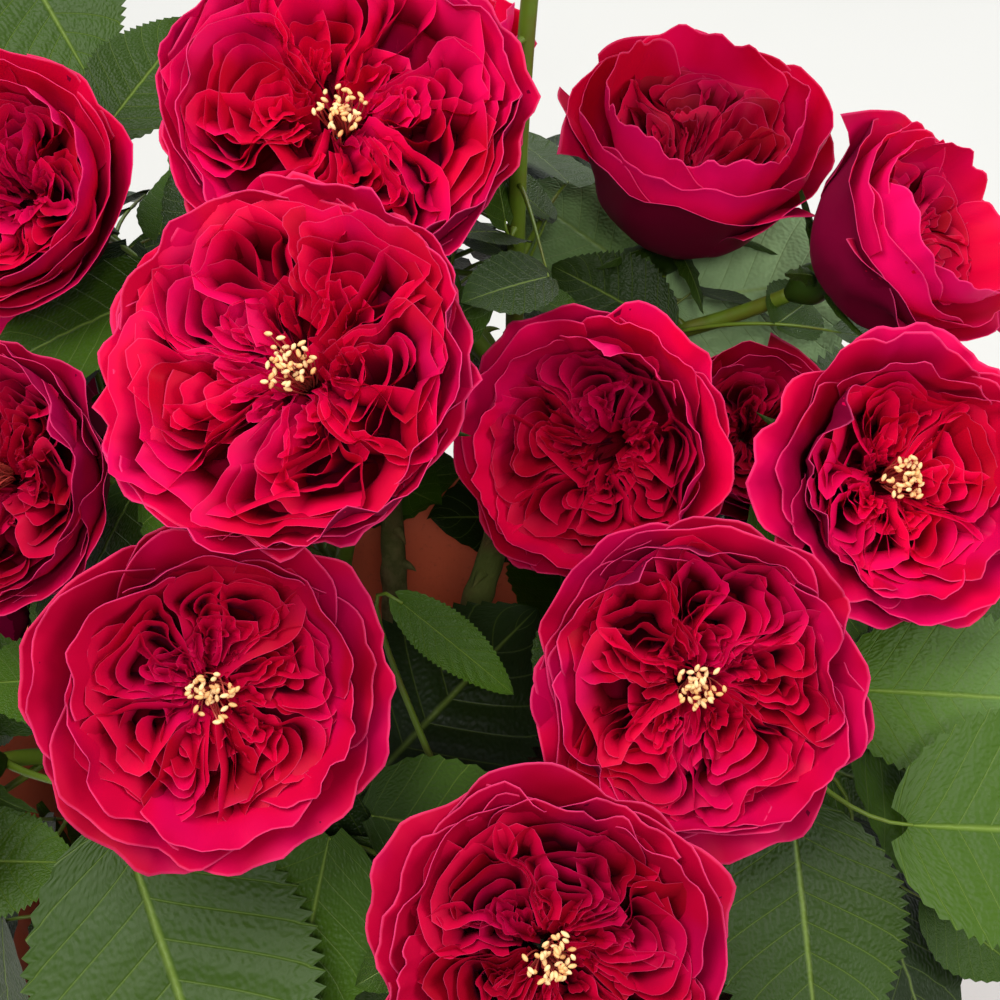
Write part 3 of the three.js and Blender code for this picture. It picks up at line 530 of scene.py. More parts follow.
# %% Rule: leaves
class Growth:
    """What has grown so far: the stretches of every limb, with their radius and mass, and every blade."""

    def __init__(self):
        self.starts, self.ends = np.zeros((0, 3)), np.zeros((0, 3))
        self.radius, self.mass, self.rod = np.zeros(0), np.zeros(0, int), np.zeros(0, int)
        self.rods, self.blades, self.blade_mass, self.stems = [], np.zeros((0, 14)), [], []

    def add_rod(self, path, radius, mass, ends=None, kind="fixed", last=1):
        """Adds a limb; mass -1 stands for canes and hips, which every mass keeps clear of. last is the
        share of its length at which its last leaflet stands."""
        count = len(path) - 1
        self.starts = np.vstack([self.starts, path[:-1]])
        self.ends = np.vstack([self.ends, path[1:]])
        self.radius = np.append(self.radius, np.full(count, radius))
        self.mass = np.append(self.mass, np.full(count, mass))
        self.rod = np.append(self.rod, np.full(count, len(self.rods)))
        self.rods.append(dict(path=path, radius=radius, mass=mass, ends=ends, kind=kind, last=last))
        return len(self.rods) - 1

    def path_clear(self, mass, path, radius):
        """Whether a path is clear of blooms, blades and the limbs of the other masses."""
        points = along(path)
        if in_light(points) or inside_bloom(points, radius + 1, spaces).any():
            return False
        if len(self.blades) and passes(path[:-1], path[1:], self.blades, radius + 1).any():
            return False
        far = self.mass != mass
        room = distances(points, self.starts[far], self.ends[far]).min(0)
        return (room > self.radius[far] + radius + 1).all()

    def blade_clear(self, b, own):
        """Whether a blade is clear of blooms, of every limb but its own, and of the blades already
        there."""
        rim, inner = on_blade(b, BLADE_OUTLINE), on_blade(b, BLADE_INNER)
        if not in_space(np.vstack([rim, inner])):
            return False
        nexts = np.roll(rim, -1, axis=0)
        points = np.vstack([inner, (rim + nexts) / 2, rim])
        if in_light(points) or inside_bloom(points, 2.5, spaces).any():
            return False
        others = self.rod != own
        gap = (self.radius[others] + 0.8)[:, None]
        if passes(self.starts[others], self.ends[others], b[None], gap).any():
            return False
        if not len(self.blades):
            return True
        far = np.linalg.norm(self.blades[:, 0:3] - b[0:3], axis=1)
        near = self.blades[far <= self.blades[:, 12] + b[12] + 4]
        if not len(near):
            return True
        if passes(rim, nexts, near, 1.6).any():
            return False
        rims = [on_blade(other, BLADE_OUTLINE) for other in near]
        edges = np.vstack([np.roll(r, -1, axis=0) for r in rims])
        return not passes(np.vstack(rims), edges, b[None], 1.6).any()


def grow_leaf(growth, place, heading, facing, scale, radius=PETIOLE_RADIUS, fewest=2):
    """Grows a compound leaf whose stalk runs from a stem to a place in the crown, if one is clear."""
    spots = []
    for rod in growth.stems:
        points = along(growth.rods[rod]["path"])
        spots += [(d, p, rod) for d, p in zip(np.linalg.norm(place - points, axis=1), points)]
    spots = [s for s in spots if LEAF_STALK[0] < s[0] < LEAF_STALK[1]]
    spots.sort(key=lambda s: s[0])
    for far, start, rod in spots[::4][:LEAF_TRIES]:
        mass = growth.rods[rod]["mass"]
        leave = unit(unit(place - start) + UP * 0.35)
        ends = (start, start + leave * 0.35 * far, place - heading * 0.35 * far, place)
        path = curve(*ends, 3)
        if not growth.path_clear(mass, path, radius):
            continue
        length = LEAFLET_LENGTH * scale
        leaflets = [(3, unit(place - path[2]), length)]
        for i in (2, 1) if far > 45 else (2,):
            for hand in (1, -1):
                ahead = unit(path[i + 1] - path[i])
                midrib = unit(ahead * 0.42 + unit(np.cross(facing, ahead)) * 0.9 * hand)
                leaflets.append((i, midrib, length * (0.84 if i == 2 else 0.7)))
        kept, last = [], 0
        for i, midrib, reach in leaflets:
            b = blade(path[i] - midrib * 0.4, midrib, facing, reach, reach * LEAFLET_WIDTH)
            rim = on_blade(b, BLADE_OUTLINE)
            nexts = np.roll(rim, -1, axis=0)
            beside = len(kept) and passes(rim, nexts, np.array(kept), 0.3).any()
            if not beside and growth.blade_clear(b, rod):
                kept.append(b)
                last = max(last, i / 3)
        if len(kept) < fewest:
            continue
        growth.add_rod(path, radius, mass, ends, "stalk", last)
        growth.blades = np.vstack([growth.blades, kept])
        growth.blade_mass += [mass] * len(kept)
        return True
    return False


growth = Growth()
for cane in canes:
    growth.add_rod(cane["path"], CANE_FOOT_RADIUS, -1)
for stem in stems:
    growth.add_rod(np.array([stem["hip_foot"], stem["hip_top"]]), HIP_RADIUS, -1)
names = [cane["name"] for cane in canes]
for mass, cane in enumerate(canes):
    root = np.array([cane["tip"] + UP * CLEARANCE, cane["tip"] + UP * ROOT_LENGTH])
    growth.add_rod(root, CANE_TIP_RADIUS, mass, kind="root")
for stem in stems:
    mass = names.index(stem["cane"])
    growth.stems.append(growth.add_rod(stem["path"], STEM_RADIUS, mass, stem["ends"], "stem"))
growth.stems.sort(key=lambda rod: growth.rods[rod]["mass"])

for cane, foot, bearing, pitch, length, width, _ in FRONT_LEAVES:
    foot, midrib = np.array(foot, float), aim(bearing, pitch)
    mass = names.index(cane)
    best = None
    for rod in growth.stems:
        if growth.rods[rod]["mass"] != mass:
            continue
        for p in along(growth.rods[rod]["path"]):
            way = along(np.array([p, (p + foot) / 2, foot]))
            cost = np.linalg.norm(p - foot) + HIT_COST * inside_bloom(way, 2, spaces).any(1).sum()
            if best is None or cost < best[0]:
                best = (cost, p)
    start = best[1]
    far = np.linalg.norm(start - foot)
    ends = (start, start + unit(foot - start) * 0.4 * far, foot - midrib * 0.3 * far, foot + midrib)
    growth.add_rod(curve(*ends, 4), PETIOLE_RADIUS, mass, ends, "stalk")
    b = blade(foot, midrib, np.array([0, -0.5, 0.85]), length, width)
    growth.blades = np.vstack([growth.blades, b])
    growth.blade_mass.append(mass)


def grow_places(growth, places, scales, **options):
    """Tries a leaf at each place of a spiral round the crown, from its top to its foot."""
    grown = 0
    for i in range(places):
        pitch = LEAF_PITCHES[0] + (LEAF_PITCHES[1] - LEAF_PITCHES[0]) * i / (places - 1)
        outward = aim(i * SPIRAL_TURN, pitch)
        reach = leaf_reach(outward[2]) * (0.66 + 0.2 * next(random))
        down = unit(outward * outward[2] - UP)
        aside = np.cross(outward, down) * (2 * next(random) - 1)
        heading = unit(outward * 0.5 + down * 0.55 + aside * 0.8)
        facing = unit(outward + UP * 0.45)
        scale = scales[0] + (scales[1] - scales[0]) * next(random)
        grown += grow_leaf(growth, CROWN_CENTRE + outward * reach, heading, facing, scale, **options)
    return grown


coarse = grow_places(growth, LEAF_PLACES, (0.85, 1.15))
print(coarse, "leaves of the solids,", len(growth.blades), "leaflets,", len(growth.rods), "limbs")

# %% [markdown]
# ## Finishes
#
# A finish here is a small net of shader nodes. A plain colour for each piece would do from afar, but
# close by the eye reads petals and leaves by how the tone changes from one to the next and within each.
# So every petal and leaf carries its own numbers as attributes of the mesh, and the nodes mix plain
# colours by them. The attribute place says how far across and along a point is, and the tone; look holds
# the rest.


# %% Node tools
def srgb(red, green, blue):
    """A colour seen on screen, 0 to 255, as the linear one that a shader takes: the gamma curve undone."""
    c = np.array([red, green, blue]) / 255
    return (*np.where(c <= 0.04045, c / 12.92, ((c + 0.055) / 1.055) ** 2.4).tolist(), 1.0)


class Finish:
    """A material in the making. Most methods add a node, join its inputs up and give its output."""

    def __init__(self, name, **sockets):
        self.material = bpy.data.materials.new(name)
        self.material.use_nodes = True
        self.tree = self.material.node_tree
        self.shader = self.tree.nodes["Principled BSDF"]
        for socket, value in sockets.items():
            self.shader.inputs[socket.replace("_", " ")].default_value = value

    def put(self, socket, value):
        """A number, colour or output into an input."""
        if isinstance(value, bpy.types.NodeSocket):
            self.tree.links.new(value, socket)
        else:
            socket.default_value = value

    def node(self, kind, inputs):
        """A new node of a kind, with a value in each of the inputs that are named or numbered."""
        made = self.tree.nodes.new("ShaderNode" + kind)
        for key, value in inputs.items():
            self.put(made.inputs[key], value)
        return made

    def paint(self, name):
        """The three numbers of an attribute, apart."""
        node = self.node("Attribute", {})
        node.attribute_name = name
        return self.node("SeparateXYZ", {0: node.outputs["Vector"]}).outputs

    def place(self):
        """Where a point is on the object."""
        return self.node("TexCoord", {}).outputs["Object"]

    def vector(self, x, y, z):
        """Three numbers as one vector."""
        return self.node("CombineXYZ", {0: x, 1: y, 2: z}).outputs[0]

    def math(self, operation, a, b=0.0):
        """One operation on two numbers, under the name that Blender has for it."""
        node = self.node("Math", {0: a, 1: b})
        node.operation = operation
        return node.outputs[0]

    def times(self, a, b):
        """Two numbers multiplied."""
        return self.math("MULTIPLY", a, b)

    def noise(self, vector, scale, detail=3.0, roughness=0.55):
        """Soft noise from 0 to 1, mostly near a half."""
        inputs = {"Vector": vector, "Scale": scale, "Detail": detail, "Roughness": roughness}
        return self.node("TexNoise", inputs).outputs["Fac"]

    def between(self, value, low, high, first=0.0, last=1.0):
        """A number carried smoothly from one span to another."""
        inputs = {"Value": value, "From Min": low, "From Max": high, "To Min": first, "To Max": last}
        node = self.node("MapRange", inputs)
        node.interpolation_type = "SMOOTHSTEP"
        return node.outputs["Result"]

    def mix(self, factor, a, b):
        """Two colours mixed."""
        node = self.node("Mix", {"Factor": factor})
        node.data_type = "RGBA"
        colours = [socket for socket in node.inputs if socket.type == "RGBA"]
        self.put(colours[0], a)
        self.put(colours[1], b)
        return next(socket for socket in node.outputs if socket.type == "RGBA")

    def relief(self, height, distance, strength):
        """A height from 0 to 1 as bumps of the surface, so many metres deep."""
        node = self.node("Bump", {"Height": height, "Distance": distance, "Strength": strength})
        self.put(self.shader.inputs["Normal"], node.outputs[0])

    def colour(self, value):
        """The surface's own colour."""
        self.put(self.shader.inputs["Base Color"], value)

    def glow(self, colour, share):
        """Light that comes through a thin piece: a share of a translucent shader beside the main one. Its
        colour can be a plain one or an output."""
        through = self.node("BsdfTranslucent", {"Color": colour})
        both = self.node("MixShader", {0: share, 1: self.shader.outputs[0], 2: through.outputs[0]})
        self.put(self.tree.nodes["Material Output"].inputs["Surface"], both.outputs[0])

    def tell(self):
        """Prints what the finish is made of."""
        print(self.material.name, "finish,", len(self.tree.nodes), "nodes")


print("node tools ready")

# %% [markdown]
# ## Petals, stamens, leaves and stems
#
# A petal is velvet: a saturated crimson with a faint lilac sheen, which glows where light comes through.
# It is duskier outside, is painted with shade deep down between its neighbours, and has a thin rim painted
# pale as a highlight. Bump nodes could add its grain, which would hardly show at this distance. A leaf is
# a satin green with a pale midrib and side veins, quilted between them; the large leaves in front are
# painted lighter or darker as they lie in light or shade. Its veins could be a picture, but drawn from the
# leaf's own numbers they always follow its shape: a multiple of the way along it, less a multiple of the
# way aside, passes a whole number and a half at each vein.

# %% Petal finish
CRIMSON, CHERRY, MAGENTA, SHEEN_PINK = srgb(238, 0, 68), srgb(184, 0, 34), srgb(232, 4, 100), srgb(240, 8, 104)
DUSK, PAINTED_SHADE_RED, RIM_HIGHLIGHT = srgb(98, 2, 34), srgb(104, 0, 16), srgb(244, 84, 142)
SHEEN, LIT_THROUGH, LIT_THROUGH_DUSK_AND_SHADE = srgb(255, 60, 150), srgb(246, 0, 62), srgb(92, 0, 30)

petal = Finish("petal", Roughness=0.55, Sheen_Weight=0.05, Sheen_Roughness=0.3, Specular_IOR_Level=0.09)
petal.shader.inputs["Sheen Tint"].default_value = SHEEN
_, _, tone = petal.paint("place")
# look holds the painted rim highlight, how dusky the back is, and the painted shade deep in the bloom
rim, outside, deep = petal.paint("look")
mottle = petal.noise(petal.place(), 45.0, 1.0)
colour = petal.mix(petal.between(tone, 0.05, 0.9), CHERRY, CRIMSON)
colour = petal.mix(petal.times(petal.between(mottle, 0.42, 0.66), 0.6), colour, MAGENTA)
# Painted shade: darker deep down between the petals
colour = petal.mix(petal.times(deep, 0.9), colour, PAINTED_SHADE_RED)
# Painted sheen: where a back is only a little dusky it is painted bright pink
colour = petal.mix(petal.between(outside, 0.0, 0.2), colour, SHEEN_PINK)
colour = petal.mix(petal.between(outside, 0.25, 1.0, 0.0, 0.88), colour, DUSK)
# Painted highlight: a pale line along the rim, where light comes through the thin edge
colour = petal.mix(petal.times(rim, 0.4), colour, RIM_HIGHLIGHT)
petal.colour(colour)
# The light through is darker in the dusky backs and where shade is painted
petal.glow(petal.mix(petal.math("MAXIMUM", outside, deep), LIT_THROUGH, LIT_THROUGH_DUSK_AND_SHADE), 0.2)
petal.tell()

# %% Stamen finishes
stamen = Finish("stamen", Roughness=0.6)
_, _, tone = stamen.paint("place")
stamen.colour(stamen.mix(stamen.between(tone, 0.0, 1.0), srgb(230, 172, 104), srgb(246, 210, 150)))
stamen.tell()

filament = Finish("filament", Roughness=0.5)
filament.colour(filament.mix(filament.noise(filament.place(), 300.0), srgb(170, 30, 40), srgb(214, 110, 90)))
filament.glow(srgb(220, 60, 60), 0.15)
filament.tell()

# %% Leaf finish
VEINS, VEIN_SLANT = 8.5, 1.9  # on each side, and how many spacings a vein runs ahead on its way to the edge
SHADE_GREEN, LEAF_GREEN, PAINTED_LIGHT_GREEN = srgb(22, 36, 3), srgb(64, 94, 16), srgb(146, 176, 122)
BLOOM_GREEN, VEIN_GREEN = srgb(50, 72, 38), srgb(128, 150, 64)

leaf = Finish("leaf", Roughness=0.45, Specular_IOR_Level=0.18)
across, up_leaf, tone = leaf.paint("place")
aside = leaf.math("ABSOLUTE", across)
order = leaf.math("SUBTRACT", leaf.times(up_leaf, VEINS), leaf.times(aside, VEIN_SLANT))
from_vein = leaf.math("ABSOLUTE", leaf.math("SUBTRACT", leaf.math("FRACT", order), 0.5))
side_vein = leaf.between(from_vein, 0.0, 0.05, 1.0, 0.0)
midrib = leaf.between(aside, 0.0, 0.045, 1.0, 0.0)
vein = leaf.math("MAXIMUM", leaf.times(side_vein, 0.4), midrib)
quilt = leaf.noise(leaf.vector(leaf.times(across, 9.0), leaf.times(up_leaf, 20.0), tone), 2.6, 0.0)
clouds = leaf.between(leaf.noise(leaf.place(), 40.0, 1.0), 0.42, 0.7, 0.0, 0.15)
# tone runs from a dark green to leaf green, and above 1 to a pale green. The plain leaflets take random
# tones; the large leaves in front carry painted light and shade as they lie lit or shaded
green = leaf.mix(leaf.between(tone, 0.0, 1.0), SHADE_GREEN, LEAF_GREEN)
green = leaf.mix(leaf.between(tone, 1.0, 1.5), green, PAINTED_LIGHT_GREEN)
green = leaf.mix(clouds, green, BLOOM_GREEN)
leaf.colour(leaf.mix(leaf.times(vein, 0.5), green, VEIN_GREEN))
leaf.relief(leaf.math("SUBTRACT", leaf.times(quilt, 0.7), vein), 0.0008, 0.5)
leaf.tell()

# %% Stem finish
stem_green = Finish("stem_green", Roughness=0.45, Specular_IOR_Level=0.4)
spot = stem_green.place()
blush = stem_green.between(stem_green.noise(spot, 90.0), 0.45, 0.7, 0.0, 0.55)
stem_green.colour(stem_green.mix(blush, srgb(92, 114, 26), srgb(96, 84, 28)))
stem_green.relief(stem_green.noise(spot, 900.0), 0.0002, 0.4)
stem_green.glow(srgb(120, 150, 30), 0.06)
stem_green.tell()

# %% [markdown]
# ## Bark, clay and compost
#
# Old rose wood is brown and rough, and turns olive towards the young tips, so its colour is mixed by
# height. The clay is unglazed, with fine specks and a pale bloom of lime in patches. The compost is dark
# and crumbly. Scanned pictures are the usual way to such surfaces, but noise at two or three scales comes
# close, has no seams and needs no file.

# %% Bark finish
bark = Finish("bark", Roughness=0.78, Specular_IOR_Level=0.25)
spot = bark.place()
grain = bark.noise(spot, 260.0, 5.0, 0.65)
_, _, height = bark.paint("look")
olive = bark.mix(bark.between(bark.noise(spot, 45.0), 0.4, 0.65), srgb(92, 100, 44), srgb(112, 88, 52))
brown = bark.mix(bark.between(grain, 0.4, 0.65), srgb(72, 52, 36), srgb(126, 104, 76))
bark.colour(bark.mix(height, brown, olive))
bark.relief(grain, 0.0012, 0.8)
bark.tell()

# %% Clay and compost finishes
clay = Finish("clay", Roughness=0.62, Specular_IOR_Level=0.35)
spot = clay.place()
blotch = clay.between(clay.noise(spot, 9.0, 4.0), 0.4, 0.65)
speck = clay.noise(spot, 420.0, 4.0, 0.7)
body = clay.mix(blotch, srgb(214, 94, 60), srgb(222, 112, 82))
body = clay.mix(clay.between(speck, 0.55, 0.75, 0.0, 0.5), body, srgb(174, 78, 52))
bloomed = clay.between(clay.noise(spot, 16.0, 6.0, 0.6), 0.56, 0.72, 0.0, 0.35)
clay.colour(clay.mix(bloomed, body, srgb(222, 176, 158)))
clay.relief(clay.math("ADD", clay.times(speck, 0.5), clay.noise(spot, 60.0)), 0.0006, 0.5)
clay.tell()

soil = Finish("compost", Roughness=0.95, Specular_IOR_Level=0.15)
crumb = soil.noise(soil.place(), 180.0, 6.0, 0.7)
soil.colour(soil.mix(soil.between(crumb, 0.35, 0.7), srgb(30, 21, 15), srgb(84, 62, 44)))
soil.relief(crumb, 0.003, 1.0)
soil.tell()

# %% Floor
FLOOR = 20000 * np.array([[-1, -1, 0], [1, -1, 0], [1, 1, 0], [-1, 1, 0]])

stone = Finish("pale_floor", Roughness=0.8)
stone.colour(stone.mix(stone.noise(stone.place(), 3.0), srgb(206, 204, 198), srgb(214, 212, 207)))
stone.tell()
add_piece("floor", shape(FLOOR, [[0, 1, 2, 3]]), stone.material)

# %% [markdown]
# ## Pot
#
# A thrown pot is a profile turned about an axis: flat foot, tapering wall, deep collar and a rounded lip,
# and the same again inside. A Screw modifier would turn it as well, but as an array of points it also
# takes the slight unevenness of clay. The four drain holes are cut afterwards with a Boolean modifier.


# %% Turned shapes
def turned(profile, sides):
    """A profile of (radius, height) turned about the upright axis: each point becomes a ring of points at
    equal angles. The first and last points lie on the axis and close the shape."""
    profile = np.asarray(profile, float)
    turn = np.arange(sides) / sides * 2 * np.pi
    spokes = np.stack([np.cos(turn), np.sin(turn), 0 * turn], -1)
    rings = profile[1:-1, None, :1] * spokes[None] + profile[1:-1, None, 1:] * UP
    points = np.concatenate([rings.reshape(-1, 3), [[0, 0, profile[0, 1]], [0, 0, profile[-1, 1]]]])
    count, first = len(profile) - 2, np.arange(sides)
    after = np.roll(first, -1)
    last = (count - 1) * sides
    low, high = np.full(sides, count * sides), np.full(sides, count * sides + 1)
    floor, roof = np.stack([low, after, first], -1), np.stack([high, last + first, last + after], -1)
    return shape(points, grid_faces(1, count, sides, wrap=True), np.concatenate([floor, roof]))


def rounded(points, steps):
    """A line of points with each stretch cut into equal steps."""
    points = np.asarray(points, float)
    t = np.linspace(0, 1, steps, endpoint=False)[None, :, None]
    return np.vstack([(points[:-1, None] * (1 - t) + points[1:, None] * t).reshape(-1, 2), points[-1:]])


def wall_at(z):
    """The pot's outer radius at a height: a straight taper from foot to lip."""
    return POT_BASE_RADIUS + (POT_TOP_RADIUS - POT_BASE_RADIUS) * z / POT_HEIGHT


COLLAR, ROLL = POT_HEIGHT - RIM_DEPTH, 4
lip = np.linspace(0, np.pi, 13)
pot_profile = [
    [0, 0],
    [POT_BASE_RADIUS - 3, 0],
    [POT_BASE_RADIUS - 1, 0.6],
    [POT_BASE_RADIUS, 2],
    *rounded([[wall_at(3), 3], [wall_at(COLLAR - 4), COLLAR - 4]], 16),
    [wall_at(COLLAR) + 0.5, COLLAR - 1],
    [RIM_RADIUS - 5, COLLAR + 0.4],
    [RIM_RADIUS - 3, COLLAR + 2],
    *np.stack([RIM_RADIUS - ROLL + ROLL * np.cos(lip), POT_HEIGHT - ROLL + ROLL * np.sin(lip)], -1),
    [POT_TOP_RADIUS - 1, POT_HEIGHT - 12],
    *rounded([[wall_at(COLLAR) - POT_WALL, COLLAR], [wall_at(POT_FLOOR) - POT_WALL, POT_FLOOR]], 8),
    [0, POT_FLOOR],
]
made = turned(pot_profile, 128)
made["points"] += ripples(made["points"], 90, 5) * 0.25 * (made["points"][:, 2:] > 1)
pot = add_piece("clay_pot", made, clay.material, "clay", ["pot"])

cut = pot.modifiers.new("drain", "BOOLEAN")
turn = (np.arange(DRAIN_COUNT) + 0.5) / DRAIN_COUNT * 2 * np.pi
hole = turned([[0, -9], [DRAIN_RADIUS, -9], [DRAIN_RADIUS, 16], [0, 16]], 24)
centres = np.stack([DRAIN_CIRCLE * np.cos(turn), DRAIN_CIRCLE * np.sin(turn), 0 * turn], -1)
holes = joined([{**hole, "points": hole["points"] + centre} for centre in centres])
cutter = add_piece("drain_cutter", holes, clay.material)
cut.object = cutter
bpy.context.view_layer.update()
whole = bpy.data.meshes.new_from_object(pot.evaluated_get(bpy.context.evaluated_depsgraph_get()))
pot.modifiers.clear()
pot.data = whole
bpy.data.objects.remove(cutter)
print("pot", len(pot.data.polygons), "faces")

# %% [markdown]
# ### Compost
#
# The compost is loose and crumbly. It falls a little towards the wall and has a level patch under the
# wood. It could be a heap of grains, but little of it shows, so one turned surface is enough, broken into
# crumbs by a waviness at two scales.

# %% Compost
def inner_at(z):
    """The compost's radius at a height, just clear of the pot's wall."""
    return wall_at(z) - POT_WALL - 2 * CLEARANCE


foot = POT_FLOOR + CLEARANCE
brim = COMPOST_LEVEL - COMPOST_FALL
level = COMPOST_LEVEL - 0.2
wall_top, shoulder = [inner_at(brim), brim], [inner_at(COMPOST_LEVEL) - 45, COMPOST_LEVEL - 2]
profile = [
    [0, foot],
    [inner_at(foot) - 1, foot],
    *rounded([[inner_at(foot + 2), foot + 2], wall_top], 6),
    *rounded([wall_top, shoulder], 18)[1:],
    *rounded([shoulder, [COMPOST_PATCH, level]], 26)[1:],
    *rounded([[COMPOST_PATCH - 2, level], [2, level]], 12),
    [0, level],
]
made = turned(profile, 160)
points = made["points"]
off_wall = np.hypot(points[:, 0], points[:, 1]) < inner_at(brim) - 1
top = np.clip((points[:, 2] - brim + 3) / 3, 0, 1) * off_wall
crumbs = ripples(points, 9, 11)[:, 2] * 1.6 + ripples(points, 4, 12)[:, 2] * 1.2
points[:, 2] += top * (crumbs - 1.2)
add_piece("compost_fill", made, soil.material, "compost", ["compost"])
print("compost", triangles(made), "triangles")

# %% [markdown]
# ## Woody base and canes
#
# The base is a knuckle of old wood: flared at the compost, narrow above it and swollen at its head, with
# a stub for each cane. Canes taper from a brown foot to an olive tip. Both get real relief in the mesh:
# long ridges and small wavy lumps, and the canes get joints and curved prickles. Sculpting would do for
# one plant; here a turned shape and tubes along the rule's curves keep every foot and tip where its solid
# is.

# %% Woody base
BARK_LUMP = 0.45

foot = COMPOST_LEVEL + CLEARANCE
outline = np.array([  # distance from the axis, height
    [BASE_FLARE, 0],
    [BASE_FLARE * 0.78, 5],
    [BASE_NECK, 13],
    [BASE_HEAD, 24],
    [BASE_HEAD * 0.9, BASE_HEIGHT - 6],
    [BASE_HEAD * 0.55, BASE_HEIGHT],
])
heights = np.linspace(0, BASE_HEIGHT, 44)
radii = np.interp(heights, outline[:, 1], outline[:, 0])
for _ in range(3):
    radii[1:-1] = (radii[:-2] + 2 * radii[1:-1] + radii[2:]) / 4
made = turned([[0, 0], *np.stack([radii, heights], -1), [0, BASE_HEIGHT]], 56)
points = made["points"]
angle = np.arctan2(points[:, 1], points[:, 0])
height = points[:, 2]
lobes = 1 + 0.1 * np.cos(3 * angle + height / 9) + 0.03 * np.cos(17 * angle + height / 5)
points[:, :2] *= lobes[:, None]
points += ripples(points, 7, 3) * BARK_LUMP * np.clip(height / 4, 0, 1)[:, None]
points[:, 2] += foot
made["paints"]["look"] = np.stack([0 * height, 0 * height, np.clip(height / 90, 0, 1)], -1)
stubs = []
for cane in canes:
    way = cane["foot"] - cane["start"] - cane["away"] * CLEARANCE
    path = cane["start"] + np.linspace(0, 1, 9)[:, None] * way
    stub = tubes(path[None], np.linspace(CANE_FOOT_RADIUS + 1.5, CANE_FOOT_RADIUS, 9), 20)
    stub["points"] += ripples(stub["points"], 6, 4) * BARK_LUMP * 0.6
    stub["paints"] = {"look": np.tile([0, 0, 0.25], (len(stub["points"]), 1))}
    stubs.append(stub)
made = joined([made, *stubs])
add_piece("old_wood", made, bark.material, "bark", ["woody_base"])
print("base", triangles(made), "triangles")


# %% Prickles
CANE_PRICKLES, STEM_PRICKLES = (13, 5.5, 1.9), (26, 3.6, 1.1)  # spacing, length, width at the foot


def reaches(path):
    """How far along a path each of its points is."""
    return np.append(0, np.cumsum(np.linalg.norm(np.diff(path, axis=0), axis=1)))


def points_at(stops, path):
    """The points at some distances along a path, each coordinate read off between the path's own points."""
    return np.stack([np.interp(stops, reaches(path), path[:, k]) for k in range(3)], -1)


def prickles(paths, spacing, length, width, chance):
    """Curved prickles along limbs: short tubes that start on the skin, lean out and hook down, and taper
    from a broad foot to a point. paths holds (points, radius at foot, radius at tip)."""
    thorns, widths = [], []
    for path, low, high in paths:
        long = reaches(path)[-1]
        first = chance.uniform(-0.4, 0.4) * spacing
        for stop in np.arange(spacing, long - spacing / 2, spacing) + first:
            share = stop / long
            at, after = points_at([stop, stop + 2], path)
            ahead = unit(after - at)
            out = chance.normal(size=3)
            out = unit(out - ahead * dots(out, ahead))
            radius = low + (high - low) * share
            size = length * chance.uniform(0.7, 1.1)
            t = np.linspace(0, 1, 6)[:, None]
            thorns.append(at + out * (radius * 0.7 + size * t) - ahead * size * 0.5 * t**2)
            widths.append(width * (1 - t[:, 0]) ** 0.8 + 0.06)
    return tubes(np.array(thorns), np.array(widths), 6, 0.9)


print("prickles on canes every", CANE_PRICKLES[0], "mm, on stems every", STEM_PRICKLES[0], "mm")

# %% Canes
JOINT_SPACING, JOINT_WIDTH, JOINT_HEIGHT = 31, 2.2, 0.35

steps = np.linspace(0, 1, 90)
chance = np.random.default_rng(41)
for cane in canes:
    stops = steps * reaches(cane["fine"])[-1]
    path = points_at(stops, cane["fine"])
    joints = JOINT_HEIGHT * bump((stops + 9) % JOINT_SPACING, 15, JOINT_WIDTH)
    radii = CANE_FOOT_RADIUS + (CANE_TIP_RADIUS - CANE_FOOT_RADIUS) * steps + joints - 0.15
    limb = tubes(path[None], radii[None], 18)
    along_limb = limb["paints"]["place"][:, 0]
    ends = np.clip(np.minimum(along_limb, 1 - along_limb) * 12, 0, 1)[:, None]
    limb["points"] += ripples(limb["points"] * [1, 1, 0.35], 5, 7) * 0.3 * ends
    thorns = prickles([(path, CANE_FOOT_RADIUS, CANE_TIP_RADIUS)], *CANE_PRICKLES, chance)
    made = joined([limb, thorns])
    tone = np.clip(made["points"][:, 2] / 90 - 2.3, 0, 1)
    made["paints"]["look"] = np.stack([0 * tone, 0 * tone, tone], -1)
    add_piece(f"green_{cane['name']}", made, bark.material, "bark", [f"cane_{cane['name']}"])
print("canes", len(canes))

# %% [markdown]
# ## Petals
#
# An open bloom of this rose has three kinds of petals. Broad guard petals stand in whorls round the
# outside, each a cupped sheet with a rolled, wavy lip. Inside them the flower is quartered: in each
# quarter, petals folded like a U nest in one another, with the fold outside and both arms towards the
# middle. A few small petals curl round the stamens. Every petal is a grid of points: rows up the petal
# and columns across it. All petals of a kind are computed at once, first in shares of the bloom's radius,
# and then placed. They could be sculpted by hand or let fall as cloth, but there are well over a
# thousand, and a formula with random numbers gives each its own shape. u runs across a petal from -1 to 1
# and v up it from 0 to 1.

# %% Petal shells
GUARD_THICKNESS = 0.011  # of the bloom's radius
HALF_OPEN = 0.45  # a bloom that is open no further counts as half open


def soft(chance, count, low, high):
    """A random number for each petal, shaped to go with its rows and columns."""
    return chance.uniform(low, high, (count, 1, 1))


def normals_of(grid):
    """The direction square to each grid at each point: the way along its columns crossed with the way
    along its rows."""
    up, along_row = np.gradient(grid, axis=1), np.gradient(grid, axis=2)
    return unit(np.cross(along_row, up))


def closedness(bloom):
    """How closed a bloom is: a half less how open it is, over two tenths, kept between 0 and 1."""
    return np.clip((0.5 - bloom["open"]) / 0.2, 0, 1)


def for_points(grid, *values):
    """Three numbers for each point of some grids, from values that may be the same along a row or
    column."""
    return np.stack([np.broadcast_to(value, grid.shape[:3]) for value in values], -1)


def petal_paint(grid, across, up, tone, rim, outside, deep):
    """The numbers that a petal's finish reads."""
    return {"place": for_points(grid, across, up, tone), "look": for_points(grid, rim, outside, deep)}


